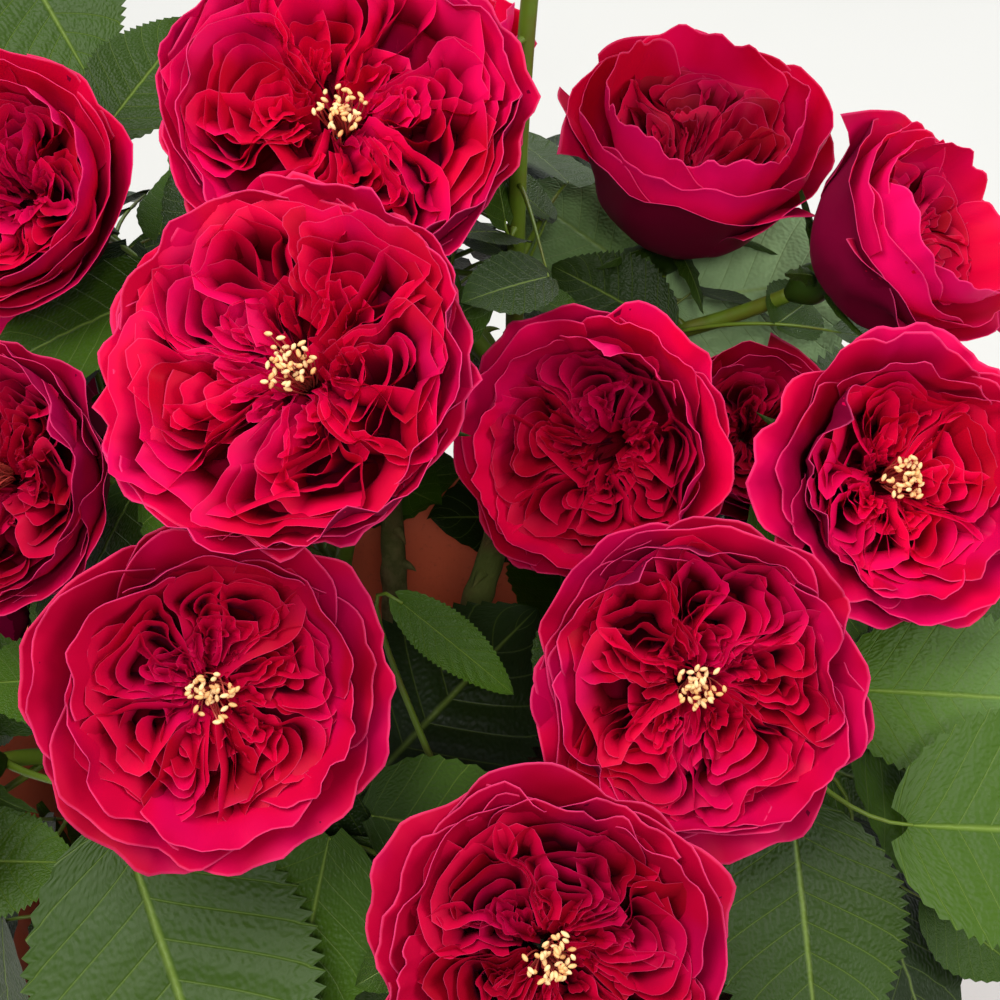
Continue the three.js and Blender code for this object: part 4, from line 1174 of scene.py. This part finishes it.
def shells(grid, thickness, outside, **numbers):
    """Closed thin petals: each grid, and behind it the same grid moved back along its normals by a
    thickness that thins out towards the edges; strips of faces join their borders. outside says how dusky
    the back is; at its low end the back is painted with a pink sheen instead."""
    count, rows, columns, _ = grid.shape
    edge = np.minimum(1, 0.35 + 3 * np.minimum(1 - numbers["up"], 1 - np.abs(numbers["across"])))
    back = grid + normals_of(grid) * (thickness * edge)[..., None]
    face, behind = (petal_paint(grid, outside=dusk, **numbers) for dusk in (0.0, outside))
    paints = {name: np.stack([face[name], behind[name]]) for name in face}

    shift = count * rows * columns
    front = grid_faces(count, rows, columns, flip=True)
    number = np.arange(rows * columns).reshape(rows, columns)
    border = np.concatenate([number[0, :-1], number[:-1, -1], number[-1, :0:-1], number[:0:-1, 0]])
    ends = np.roll(border, -1)
    strip = np.stack([border, ends, ends + shift, border + shift], -1)
    strips = strip[None] + (np.arange(count) * rows * columns)[:, None, None]
    quads = np.concatenate([front, front[:, ::-1] + shift, strips.reshape(-1, 4)])
    return shape(np.stack([grid, back]), quads, **paints)


def sheets(grid, **numbers):
    """Thin petals as single sheets."""
    count, rows, columns, _ = grid.shape
    return shape(grid, grid_faces(count, rows, columns), **petal_paint(grid, **numbers))


print("guard petals", GUARD_THICKNESS, "of a bloom's radius thick, the others single sheets")

# %% [markdown]
# ### Guard petals
#
# The broad outer petals give a bloom its outline: they lean out, cup, and roll their lips back. A surface
# turned round an axis would be quicker, but its petals would all be alike and would have no gaps. Here
# each has its own bearing, width, reach, lean, notch, roll and wave.

# %% Guard petals
WHORLS, HALF_OPEN_WHORLS = (5, 5, 6), (3, 4, 5)  # petals from the outermost whorl to the innermost
OPEN_LEAN, SHUT_LEAN = (14, 66), (48, 90)  # degrees at the lip, outermost and innermost whorl


def mixed(pair, share):
    """A number so far on the way from the first of a pair to the second."""
    return pair[0] + (pair[1] - pair[0]) * share


def guard_petals(bloom, chance, rows, columns):
    """Whorls of broad petals. Up the petal, radius and height follow a cubic curve from the hip to the
    lip. The outermost whorl of an open bloom ends nearly level and the innermost steeply, and both are
    steeper in a bloom that is less open. Across the petal the angle spreads evenly. The lip is rounded,
    notched, rolled back, and waved with small points; the outermost petals of a half-open bloom keep
    their corners, which turn out."""
    opened, heart, depth = bloom["open"], bloom["heart"], bloom["depth"] / bloom["radius"]
    each = np.array(WHORLS if opened > HALF_OPEN else HALF_OPEN_WHORLS)
    whorl = np.repeat(np.arange(len(each)), each)
    count = len(whorl)
    k = (whorl / (len(each) - 1)).reshape(-1, 1, 1)  # 0 outermost, 1 innermost
    goblet = closedness(bloom)
    calm = 1 - 0.25 * goblet  # the more closed, the less wavy
    spoke = np.concatenate([(np.arange(n) + 0.5 * (w % 2)) / n for w, n in enumerate(each)]) * 2 * np.pi
    middle = spoke.reshape(-1, 1, 1) + whorl.reshape(-1, 1, 1) * 0.7 + soft(chance, count, -0.16, 0.16)
    half = np.pi / each[whorl].reshape(-1, 1, 1) * soft(chance, count, 1.25, 1.55)
    u = np.sin(np.pi / 2 * np.linspace(-1, 1, columns))[None, None]
    v = np.append(0.985 * np.linspace(0, 1, rows - 1) ** 0.8, 1.0)[None, :, None]
    notch = 0.08 * bump(u, soft(chance, count, -0.5, 0.5), 0.12) * soft(chance, count, -0.6, 1)
    corner = (0.17 + 0.13 * soft(chance, count, -1, 1)) * (1 - 0.75 * goblet * (1 - k))
    t = v * (1 - corner * np.abs(u) ** 3.2 - notch * v)

    lip_radius = (1.0 - (0.93 - heart) * k**1.5) * soft(chance, count, 0.94, 1.02)
    lip_height = opened * (-0.10 + 0.15 * k) + (1 - opened) * (-0.16 + 0.32 * k) + 0.06 * bloom["cup"] * k
    lip_height = lip_height + soft(chance, count, -0.05, 0.04)
    lean = np.radians(opened * mixed(OPEN_LEAN, k) + (1 - opened) * mixed(SHUT_LEAN, k))
    lean = lean + soft(chance, count, -0.15, 0.15)
    reach = 0.30 + 0.12 * (1 - k)
    corners = [
        (0.02, -depth),
        (0.62 * lip_radius, -depth * (0.96 - 0.1 * k)),
        (lip_radius - reach * np.cos(lean), lip_height - reach * np.sin(lean)),
        (lip_radius, lip_height),
    ]
    weights = [(1 - t) ** 3, 3 * (1 - t) ** 2 * t, 3 * (1 - t) * t * t, t**3]
    radius = sum(w * c[0] for w, c in zip(weights, corners))
    height = sum(w * c[1] for w, c in zip(weights, corners))

    lip = np.clip((t - 0.72) / 0.28, 0, 1) ** 2
    roll = soft(chance, count, 0.0, 1.0) * (0.6 + 0.4 * np.sin(2.2 * u + soft(chance, count, 0, 6)))
    # The corners of the outermost whorl of a half-open bloom turn out
    turned_out = goblet * (1 - k) * (0.2 * np.abs(u) ** 5 - 0.04) * lip
    radius = radius + 0.05 * roll * lip + turned_out
    height = height - (0.05 * roll - 0.02) * lip - 0.3 * turned_out

    # Waves and small points along the lip
    turns, late = soft(chance, count, 1.6, 3.2), soft(chance, count, 0, 6.28)
    way = turns * np.pi * u
    points = 0.7 - 2 * np.abs(np.sin(0.9 * way + late))
    wave = np.sin(way + late) * 0.6 + points * 0.25 + np.sin(2.6 * way + 2 * late) * 0.25
    radius = radius + 0.036 * calm * wave * t**3 + 0.018 * u * t
    height = height + 0.034 * calm * np.sin(1.7 * way + 3 * late) * t**3

    # A fold at one place of the lip in open blooms, and the belly of every cup
    folded = bump(u, soft(chance, count, -0.9, 0.9), 0.25) * soft(chance, count, -0.4, 1).clip(0)
    folded = folded * (opened > HALF_OPEN)
    radius = radius - 0.13 * folded * lip
    height = height + 0.03 * folded * lip
    radius = radius + 0.05 * (1 - opened * 0.5) * (1 - u * u) * np.sin(np.pi * t)

    width = 0.4 + 0.6 * np.sin(np.pi / 2 * np.clip(t / 0.55, 0, 1))
    angle = middle + half * u * width
    grid = np.stack([radius * np.cos(angle), radius * np.sin(angle), height + 0 * angle], -1)
    # Painted highlight along the lip and the sides
    rim = 1.0 * ((v > 0.99) | (np.abs(u) > 0.999) & (v > 0.35))
    tone = 0.6 + 0.4 * soft(chance, count, -1, 1) + 0.2 * (t - 0.5)
    # Painted shade: darker low in the cup, and in the turned-out corners of a half-open bloom's outer whorl
    deep = np.clip(1.1 - 1.6 * t, 0, 1) + 0.9 * goblet * (1 - k) * np.abs(u) ** 4 * lip
    # Backs are dusky; on the inner whorls of a half-open bloom the number falls to 0.2, where the back is
    # painted with a pink sheen
    dusky = 1 - 0.8 * np.clip(2 - 2.5 * opened, 0, 1) * np.clip(2 * k, 0, 1)
    return shells(grid, GUARD_THICKNESS, dusky, across=u, up=v, tone=tone, rim=rim, deep=deep)


print("guard petals in whorls of", WHORLS, "or, half open, of", HALF_OPEN_WHORLS)

# %% [markdown]
# ### Heart
#
# Inside the guards the petals are crowded and folded. From above one sees their edges, packed like the
# leaves of a cabbage, with dark gaps between them. Spirals of small cups are the common way to draw a
# rose, but they give the pointed heart of a cut rose. The quartered heart of this one needs U-shaped
# folds nested side by side.

# %% Folded petals of the heart
heart_range = [100 * pick(bloom["heart"] for bloom in blooms) for pick in (min, max)]


def heart_height(radius, bloom):
    """How high the petals' edges stand at a distance from the middle: a low dome, sunk in a cupped bloom,
    with a hollow in it that is shallower in an open bloom."""
    heart, opened = bloom["heart"], bloom["open"]
    rise = 0.06 * opened - 0.02 - 0.09 * bloom["cup"]
    hollow = 0.24 + 0.42 * (1 - opened)
    return rise - hollow * np.clip(1 - radius / (0.86 * heart), 0, 1) ** 1.3


def folded_petals(bloom, chance, rows, columns, quarters, nested, seed):
    """Petals folded like a U. Across the petal, the edge runs out along one arm, round the fold and back
    along the other: the angle eases from one side of the quarter to the other while the distance from the
    middle falls from the fold to the ends of the arms. All edges are then swayed by one waviness of the
    whole heart, so that neighbours bend alike. Down the petal the edge draws in, square to itself and a
    little towards the middle, which leaves steep faces with dark gaps between them. The edge curls away
    and crinkles."""
    heart = bloom["heart"]
    quarter, place = [a.reshape(-1, 1, 1) for a in np.meshgrid(np.arange(quarters), np.arange(nested))]
    count = quarters * nested
    share = place / max(1, nested - 1)  # 0 outermost, 1 innermost
    fold = heart * (0.98 - 0.6 * share) * soft(chance, count, 0.96, 1.04)
    spread = np.pi / quarters * (1.02 - 0.86 * share) * soft(chance, count, 0.92, 1.06)
    lean = soft(chance, quarters, -0.14, 0.14)[quarter[:, 0, 0]]  # the same for all petals of a quarter
    middle = 2 * np.pi * (quarter + lean) / quarters + soft(chance, count, -0.05, 0.05) + 0.12 * share
    ends = heart * (0.16 + 0.16 * soft(chance, count, 0, 1))
    u = np.linspace(-1, 1, columns)[None, None]
    v = np.append(0.985 * (1 - np.linspace(1, 0, rows - 1) ** 1.7), 1.0)[None, :, None]
    arm = np.clip((np.abs(u) - 0.16) / 0.84, 0, 1)
    distance = ends + (fold - ends) * (1 - arm**1.2)
    turn = np.sin(np.pi / 2 * np.clip(np.abs(u) / (0.4 + 0.1 * share), 0, 1)) * np.sign(u)
    bend = soft(chance, count, -0.1, 0.1) * arm
    angle = middle + spread * turn * (1 - 0.2 * arm) + bend
    flat = np.stack([distance * np.cos(angle), distance * np.sin(angle), 0 * angle], -1)

    slow = ripples(flat.reshape(-1, 3), 0.5, seed).reshape(flat.shape)
    quick = ripples(flat.reshape(-1, 3), 0.2, seed + 1).reshape(flat.shape)
    calm = 0.35 + 0.65 * np.clip(distance / heart, 0, 1)[..., None]  # the middle is less crumpled
    swayed = flat + slow * [0.09, 0.09, 0.05] * calm + quick * [0.03, 0.03, 0.03] * calm
    step = np.gradient(swayed[..., :2], axis=2)
    outward = unit(np.stack([step[..., 1], -step[..., 0]], -1))
    fold_at = columns // 2
    sign = np.sign(dots(outward[:, :, fold_at], flat[:, :, fold_at, :2]))[..., None, None]

    shrink = (0.88 + 0.12 * v)[..., None]
    drawn_in = soft(chance, count, 0.01, 0.045) * (1 - v)
    edge = v**3
    turns, late = soft(chance, count, 2.6, 4.6), soft(chance, count, 0, 6.28)
    way = turns * np.pi * u
    crinkle = (np.sin(way + late) * 0.02 + np.sin(2 * way + 2 * late) * 0.008) * calm[..., 0]
    curl = soft(chance, count, 0.005, 0.055) * edge - drawn_in - 0.015 * np.sin(np.pi * v) + crinkle * v**2
    notch = 0.05 * bump(u, soft(chance, count, -0.5, 0.5), 0.09) * soft(chance, count, 0, 1)
    top = heart_height(distance, bloom) + soft(chance, count, -0.045, 0.03) + 0.03 * np.cos(np.pi * u) * share
    rough = np.sin(1.9 * way + 3 * late) * 0.016 * v**2
    down = (0.24 + 0.26 * np.clip(3 * share, 0, 1)) * soft(chance, count, 0.9, 1.1) * (1 - v)
    grid = swayed * [1, 1, 0] * shrink + swayed * [0, 0, 1] * v[..., None]
    grid[..., 2] += top - down - (notch + 0.012) * edge + rough
    grid[..., :2] += outward * sign * curl[..., None]
    # Painted highlight along the edge
    rim = 1.0 * (v > 0.99)
    tone = 0.55 + 0.42 * soft(chance, count, -1, 1)
    # Painted shade: darker down the petal between its neighbours, and in the inner petals of a closed bloom
    deep = np.clip(1.2 - 1.3 * v, 0, 1) + 0.5 * closedness(bloom) * share
    return sheets(grid, across=u, up=v, tone=tone, rim=rim, outside=0.0, deep=deep)


print("each heart", "{:.0f} to {:.0f} percent".format(*heart_range), "of its bloom")


# %% Petals of a bloom
GRIDS = {  # rows and columns of a petal, in blooms seen from afar and from close by
    "guards": ((9, 19), (12, 37)),
    "heart": ((8, 27), (8, 53)),
    "tuft": ((6, 19), (6, 19)),
    "filler": ((7, 19), (7, 29)),
}
AGE_AND_PAINTED_SHADE = {  # how much darker a bloom is painted, its guard petals and its heart: partly darkening with age, partly painted shade in the cup
    "centre": (0.12, 0.16),
    "crown": (0.0, 0.0),
    "low_left": (0.28, 0.28),
    "low_right": (0.25, 0.25),
    "lowest": (0.45, 0.45),
    "left": (0.4, 0.4),
    "far_left": (0.15, 0.15),
    "shaded": (0.5, 0.5),
    "deep": (0.0, 0.35),
    "high_right": (0.0, 0.45),
    "far_right": (0.0, 0.25),
}


def petals_of(bloom, index, fine):
    """All petals of a bloom, warped together by a slow waviness, scaled by its radius and placed by its
    axis. The narrower its heart, the deeper it sits in the cup of the guard petals."""
    bloom = {**bloom, "cup": float(np.clip((0.86 - bloom["heart"]) / 0.16, 0, 1))}
    chance = np.random.default_rng(100 + index)
    seed = 200 + 10 * index
    grids = {kind: sizes[fine] for kind, sizes in GRIDS.items()}
    quarters, nested = (int(chance.integers(4, 6)), 7) if bloom["open"] > HALF_OPEN else (4, 6)
    heart = folded_petals(bloom, chance, *grids["heart"], quarters, nested, seed)
    narrow, wide = ({**bloom, "heart": bloom["heart"] * share} for share in (0.5, 0.93))
    tuft = folded_petals(narrow, chance, *grids["tuft"], quarters + 1, 2, seed)
    tuft["points"][:, 2] -= 0.12 + 0.05 * (1 - bloom["open"])
    filler = folded_petals(wide, chance, *grids["filler"], quarters, 2, seed + 2)
    swing = np.pi / quarters  # the filler stands between the quarters
    turn = np.array([[np.cos(swing), np.sin(swing), 0], [-np.sin(swing), np.cos(swing), 0], [0, 0, 1]])
    filler["points"] = filler["points"] @ turn
    filler["points"][:, 2] -= 0.02
    guards = guard_petals(bloom, chance, *grids["guards"])
    # Painted shade deep in the bloom, raised by the bloom's own amount: partly age, partly the shade of its
    # cup
    outer_shade, inner_shade = AGE_AND_PAINTED_SHADE.get(bloom["name"], (0.0, 0.0))
    guards["paints"]["look"][:, 2] += outer_shade
    for petals in (heart, tuft, filler):
        petals["paints"]["look"][:, 2] += inner_shade
    made = joined([guards, heart, tuft, filler])
    points = made["points"]
    grip = np.clip((points[:, 2:] + bloom["depth"] / bloom["radius"]) * 2, 0, 1)
    points += ripples(points, 0.9, seed + 4) * 0.05 * grip + ripples(points, 0.33, seed + 5) * 0.012 * grip
    made["points"] = placed(points * bloom["radius"], bloom)
    return made


def placed(points, bloom):
    """Points of a bloom's own space, with its axis up, put where the bloom is and turned to face its
    way."""
    axis = bloom["axis"]
    side = unit(np.cross([0, 1, 0] if abs(axis[2]) > STEEP else UP, axis))
    return bloom["at"] + points @ np.stack([side, np.cross(axis, side), axis])


print(len(AGE_AND_PAINTED_SHADE), "blooms have a shade of their own")

# %% Blooms
SEEN_WELL = 13  # the first blooms of the list are seen from close by

total = 0
for index, bloom in enumerate(blooms):
    made = petals_of(bloom, index, index < SEEN_WELL)
    total += triangles(made)
    add_piece(f"petals_{bloom['name']}", made, petal.material, "petal", [f"bloom_{bloom['name']}"])
print(len(blooms), "blooms,", total, "triangles")

# %% [markdown]
# ## Stamens, hips and sepals
#
# Where a bloom is open, a tuft of stamens shows in the middle: thin red-tinted threads, each with a cream
# anther that lies across its tip. Below each bloom sits a green hip with five narrow sepals that fold
# back. The stamens could be a hair system, but tubes are plain meshes, and a few dozen a bloom cost
# little. A hip is a surface turned round the bloom's axis; a sepal is a narrow grid laid along a curve
# that bends step by step.

# %% Stamens
STAMENS, SHOWN_FROM = 46, 0.55  # in each bloom that is open at least this far
THREAD_RADIUS, ANTHER_RADII = 0.17, np.array([0.16, 0.4, 0.5, 0.48, 0.38, 0.14])

threads, tips, bent = [], [], []
for index, bloom in enumerate(blooms):
    if bloom["open"] < SHOWN_FROM:
        continue
    chance = np.random.default_rng(400 + index)
    count = STAMENS
    spoke = chance.uniform(0, 2 * np.pi, count)
    bearing = np.stack([np.cos(spoke), np.sin(spoke), 0 * spoke], -1)
    reach = (0.12 * bloom["radius"] * chance.uniform(0.03, 1.3, count) ** 0.7)[:, None] * bearing
    foot = 0.3 * reach - 0.45 * bloom["radius"] * UP
    rise = (-0.08 + 0.04 * chance.normal(size=count)) * bloom["radius"]
    tip = reach + rise[:, None] * UP
    t = np.linspace(0, 1, 7)[None, :, None]
    sway = chance.normal(size=(count, 1, 3)) * [0.8, 0.8, 0]
    path = foot[:, None] * (1 - t) + tip[:, None] * t + sway * np.sin(np.pi * t)
    threads.append(placed(path, bloom))
    way = unit(chance.normal(size=(count, 3)) * [1, 1, 0.35])
    size = chance.uniform(0.6, 0.85, (count, 1, 1))
    line = np.linspace(-1.15, 1.15, 6)[None, :, None] * size
    tips.append(placed(tip[:, None] + way[:, None] * line, bloom))
    bent.append(chance.uniform(0, 1, count))
threads, tips, tones = np.concatenate(threads), np.concatenate(tips), np.concatenate(bent)
add_piece("stamen_threads", tubes(threads, THREAD_RADIUS, 5), filament.material, "petal")
anthers = tubes(tips, ANTHER_RADII, 7, tones)
add_piece("anthers", anthers, stamen.material, "petal")
print(len(threads), "stamens")

# %% Hips and sepals
SEPALS, SEPAL_ROWS = 5, 15
HIP_PROFILE = [  # distance from the axis, height
    [0, -3.4], [1.6, -3], [3.4, 0], [4.9, 3], [5.1, 5.5], [4.6, 8], [4.2, 10], [3.2, 10.4], [0, 10.4]
]

t = np.linspace(0, 1, SEPAL_ROWS)  # from foot to tip
hips, paths, widths = [], [], []
for index, bloom in enumerate(blooms):
    chance = np.random.default_rng(500 + index)
    hip = turned(HIP_PROFILE, 18)
    centre = {**bloom, "at": stems[index]["hip_foot"]}
    hip["points"] = placed(hip["points"], centre)
    hip["paints"] = {"place": np.tile([0.5, 0.5, 0.3], (len(hip["points"]), 1))}
    hips.append(hip)
    long = 0.72 * bloom["radius"] * chance.uniform(0.85, 1.1, SEPALS)
    for n, length in enumerate(long):
        turn = 2 * np.pi * (n + chance.uniform(-0.12, 0.12)) / SEPALS
        fold = np.radians(chance.uniform(-62, 18)) * t + np.radians(22)
        out, side = np.array([[np.cos(turn), np.sin(turn), 0], [-np.sin(turn), np.cos(turn), 0]])
        step = np.cos(fold)[:, None] * out + np.sin(fold)[:, None] * UP
        line = np.cumsum(step, axis=0) * length / SEPAL_ROWS + 3.6 * out + (HIP_LENGTH - 0.6) * UP
        lobes = 1 + 0.45 * np.clip(np.sin(t * 19), 0, 1) * (t > 0.25) * (t < 0.85)
        wide = 2.9 * (1 - t) ** 0.75 * np.minimum(1, 0.6 + 3 * t) * lobes
        paths.append(placed(line, centre))
        widths.append(wide[:, None] * (placed(side[None], {**centre, "at": 0 * UP})))
paths, widths = np.array(paths), np.array(widths)
x = np.linspace(-1, 1, 5)
grid = paths[:, :, None] + widths[:, :, None] * x[None, None, :, None]
lift = normals_of(grid)
grid = grid + lift * (0.9 * (np.abs(x) ** 1.5))[None, None, :, None]
place = for_points(grid, x * 0.8, t[:, None], 0.35)
sepals = shape(grid, grid_faces(*grid.shape[:3]), place=place)
add_piece("hips_and_sepals", joined([*hips, sepals]), leaf.material, "leaf")
print(len(paths), "sepals")

# %% [markdown]
# ## Stems and leaves
#
# Each mass grows on from its cane's tip. Its limbs are tubes along the rule's own curves, taken in finer
# steps. Leaflets are thin blades with a toothed edge, folded a little along the midrib, drooping at the
# tip, and quilted between the veins. After the leaves of the solids, the rule goes round the crown again
# and sets smaller leaves where there is still room. A particle system would spread leaves faster, but it
# knows nothing of the limbs and blooms, and its leaves would cut through them.

# %% A finer round of leaves
# Two more openings keep the smaller leaves off the large ones at the lower left and in the middle.
OPENING_TOPS = np.vstack([OPENING_TOPS, [[-33, -148, 388], [19, -116, 417]]])
OPENING_FEET = np.vstack([OPENING_FEET, [[-41, -120, 344], [16, -41, 326]]])
OPENING_RADII = np.append(OPENING_RADII, [22, 18])
FINER_ROUNDS = [  # places to try, scales, radius of the stalk, fewest leaflets
    (620, (0.5, 0.78), 0.9, 2),
    (420, (0.42, 0.6), 0.8, 1),
]

solid_leaflets, finer = len(growth.blades), 0
for places, scales, radius, fewest in FINER_ROUNDS:
    finer += grow_places(growth, places, scales, radius=radius, fewest=fewest)
print(finer, "smaller leaves,", len(growth.blades) - solid_leaflets, "more leaflets")


# %% Leaflets
PLAIN_LEAF, LARGE_LEAF = (23, 5, 11), (101, 25, 25)  # rows, columns and teeth of a leaflet


def leaf_blades(blades, rows, columns, teeth, chance, tones=None):
    """Leaflets as grids: rows from foot to tip, columns across. Half the width at a share s of the length
    is an egg-shaped curve, s to a power times 1 - s to a power; its edge is sawn by the fraction of s
    times the number of teeth. The sides rise from the midrib, the tip droops, and side veins sink between
    pillows."""
    count = len(blades)
    s = np.linspace(0, 1, rows)[None, :, None]
    u = np.linspace(-1, 1, columns)[None, None]
    egg = (s + 0.004) ** 0.52 * (1.0 - s + 0.002) ** 0.82
    egg = egg / egg.max()
    saw = 1 - (s * teeth % 1)
    half = 0.5 * egg * (1 + 0.11 * (saw - 0.5) * np.abs(u) ** 8)
    ahead = 0.02 * saw * np.abs(u) ** 8 * np.sin(np.pi * s)
    base = 0.06 * np.abs(u) ** 2 * np.clip(1 - 6 * s, 0, 1)
    length, width = blades[:, 12].reshape(-1, 1, 1), blades[:, 13].reshape(-1, 1, 1)
    fold = soft(chance, count, 0.7, 1.6)
    droop = soft(chance, count, 0.07, 0.12)
    twist = soft(chance, count, -0.06, 0.06)
    veins = np.abs((s * VEINS - np.abs(u) * VEIN_SLANT) % 1 - 0.5) * 2
    pillow = (veins**0.6 - 0.6) * 0.010 * length * np.sin(np.pi * s) * (1 - np.abs(u) ** 4)
    wave = np.sin(9 * s + soft(chance, count, 0, 6)) * 0.022 * length * np.abs(u) ** 2
    z = fold * np.abs(u) ** 1.3 * np.sin(np.pi * s) ** 0.6 - droop * length * s**2.2 + pillow + wave
    z = z + twist * width * u * s
    x = (s + ahead - base) * length
    y = half * u * width
    foot, midrib, face, side = (blades[:, None, None, i : i + 3] for i in (0, 3, 6, 9))
    grid = foot + midrib * x[..., None] + side * y[..., None] + face * z[..., None]
    tone = soft(chance, count, 0, 0.8) if tones is None else np.reshape(tones, (count, 1, 1))
    place = for_points(grid, u, s, tone + 0.2 * (s - 0.5))
    return shape(grid, grid_faces(count, rows, columns, flip=True), place=place)


print("leaflets of", PLAIN_LEAF[2], "teeth, the large ones in front of", LARGE_LEAF[2])

# %% Masses
chance = np.random.default_rng(61)
blade_mass = np.array(growth.blade_mass)
large = np.arange(len(growth.blades)) < len(FRONT_LEAVES)
# The large leaves' painted light and shade
leaf_light_and_shade = np.array([leaf[-1] for leaf in FRONT_LEAVES])
total = 0
for mass, cane in enumerate(canes):
    nodes = [f"foliage_{cane['name']}"]
    fine = growth.blades[(blade_mass == mass) & large]
    plain = growth.blades[(blade_mass == mass) & ~large]
    parts = [leaf_blades(plain, *PLAIN_LEAF, chance)]
    if len(fine):
        own = blade_mass[: len(FRONT_LEAVES)] == mass
        parts.append(leaf_blades(fine, *LARGE_LEAF, chance, leaf_light_and_shade[own]))
    leaves = joined(parts)
    add_piece(f"leaves_{cane['name']}", leaves, leaf.material, "leaf", nodes)
    limbs = []
    for rod in growth.rods:
        if rod["mass"] != mass:
            continue
        foot, tip = (1.0, 0.8) if rod["kind"] in ("stem", "root") else (0.85, 0.3)
        steps, sides = (24, 10) if rod["kind"] == "stem" else (12, 6)
        path = rod["path"] if rod["ends"] is None else curve(*rod["ends"], steps)
        path = path[: round((len(path) - 1) * rod["last"]) + 1]
        radii = rod["radius"] * np.linspace(foot, tip, len(path))[None]
        limbs.append(tubes(path[None], radii, sides))
    own = [growth.rods[r] for r in growth.stems if growth.rods[r]["mass"] == mass]
    if own:
        paths = [(curve(*rod["ends"], 24), STEM_RADIUS, STEM_TIP_RADIUS) for rod in own]
        limbs.append(prickles(paths, *STEM_PRICKLES, chance))
    twigs = joined(limbs)
    add_piece(f"stems_{cane['name']}", twigs, stem_green.material, "leaf", nodes)
    total += triangles(leaves) + triangles(twigs)
print("masses", total, "triangles")
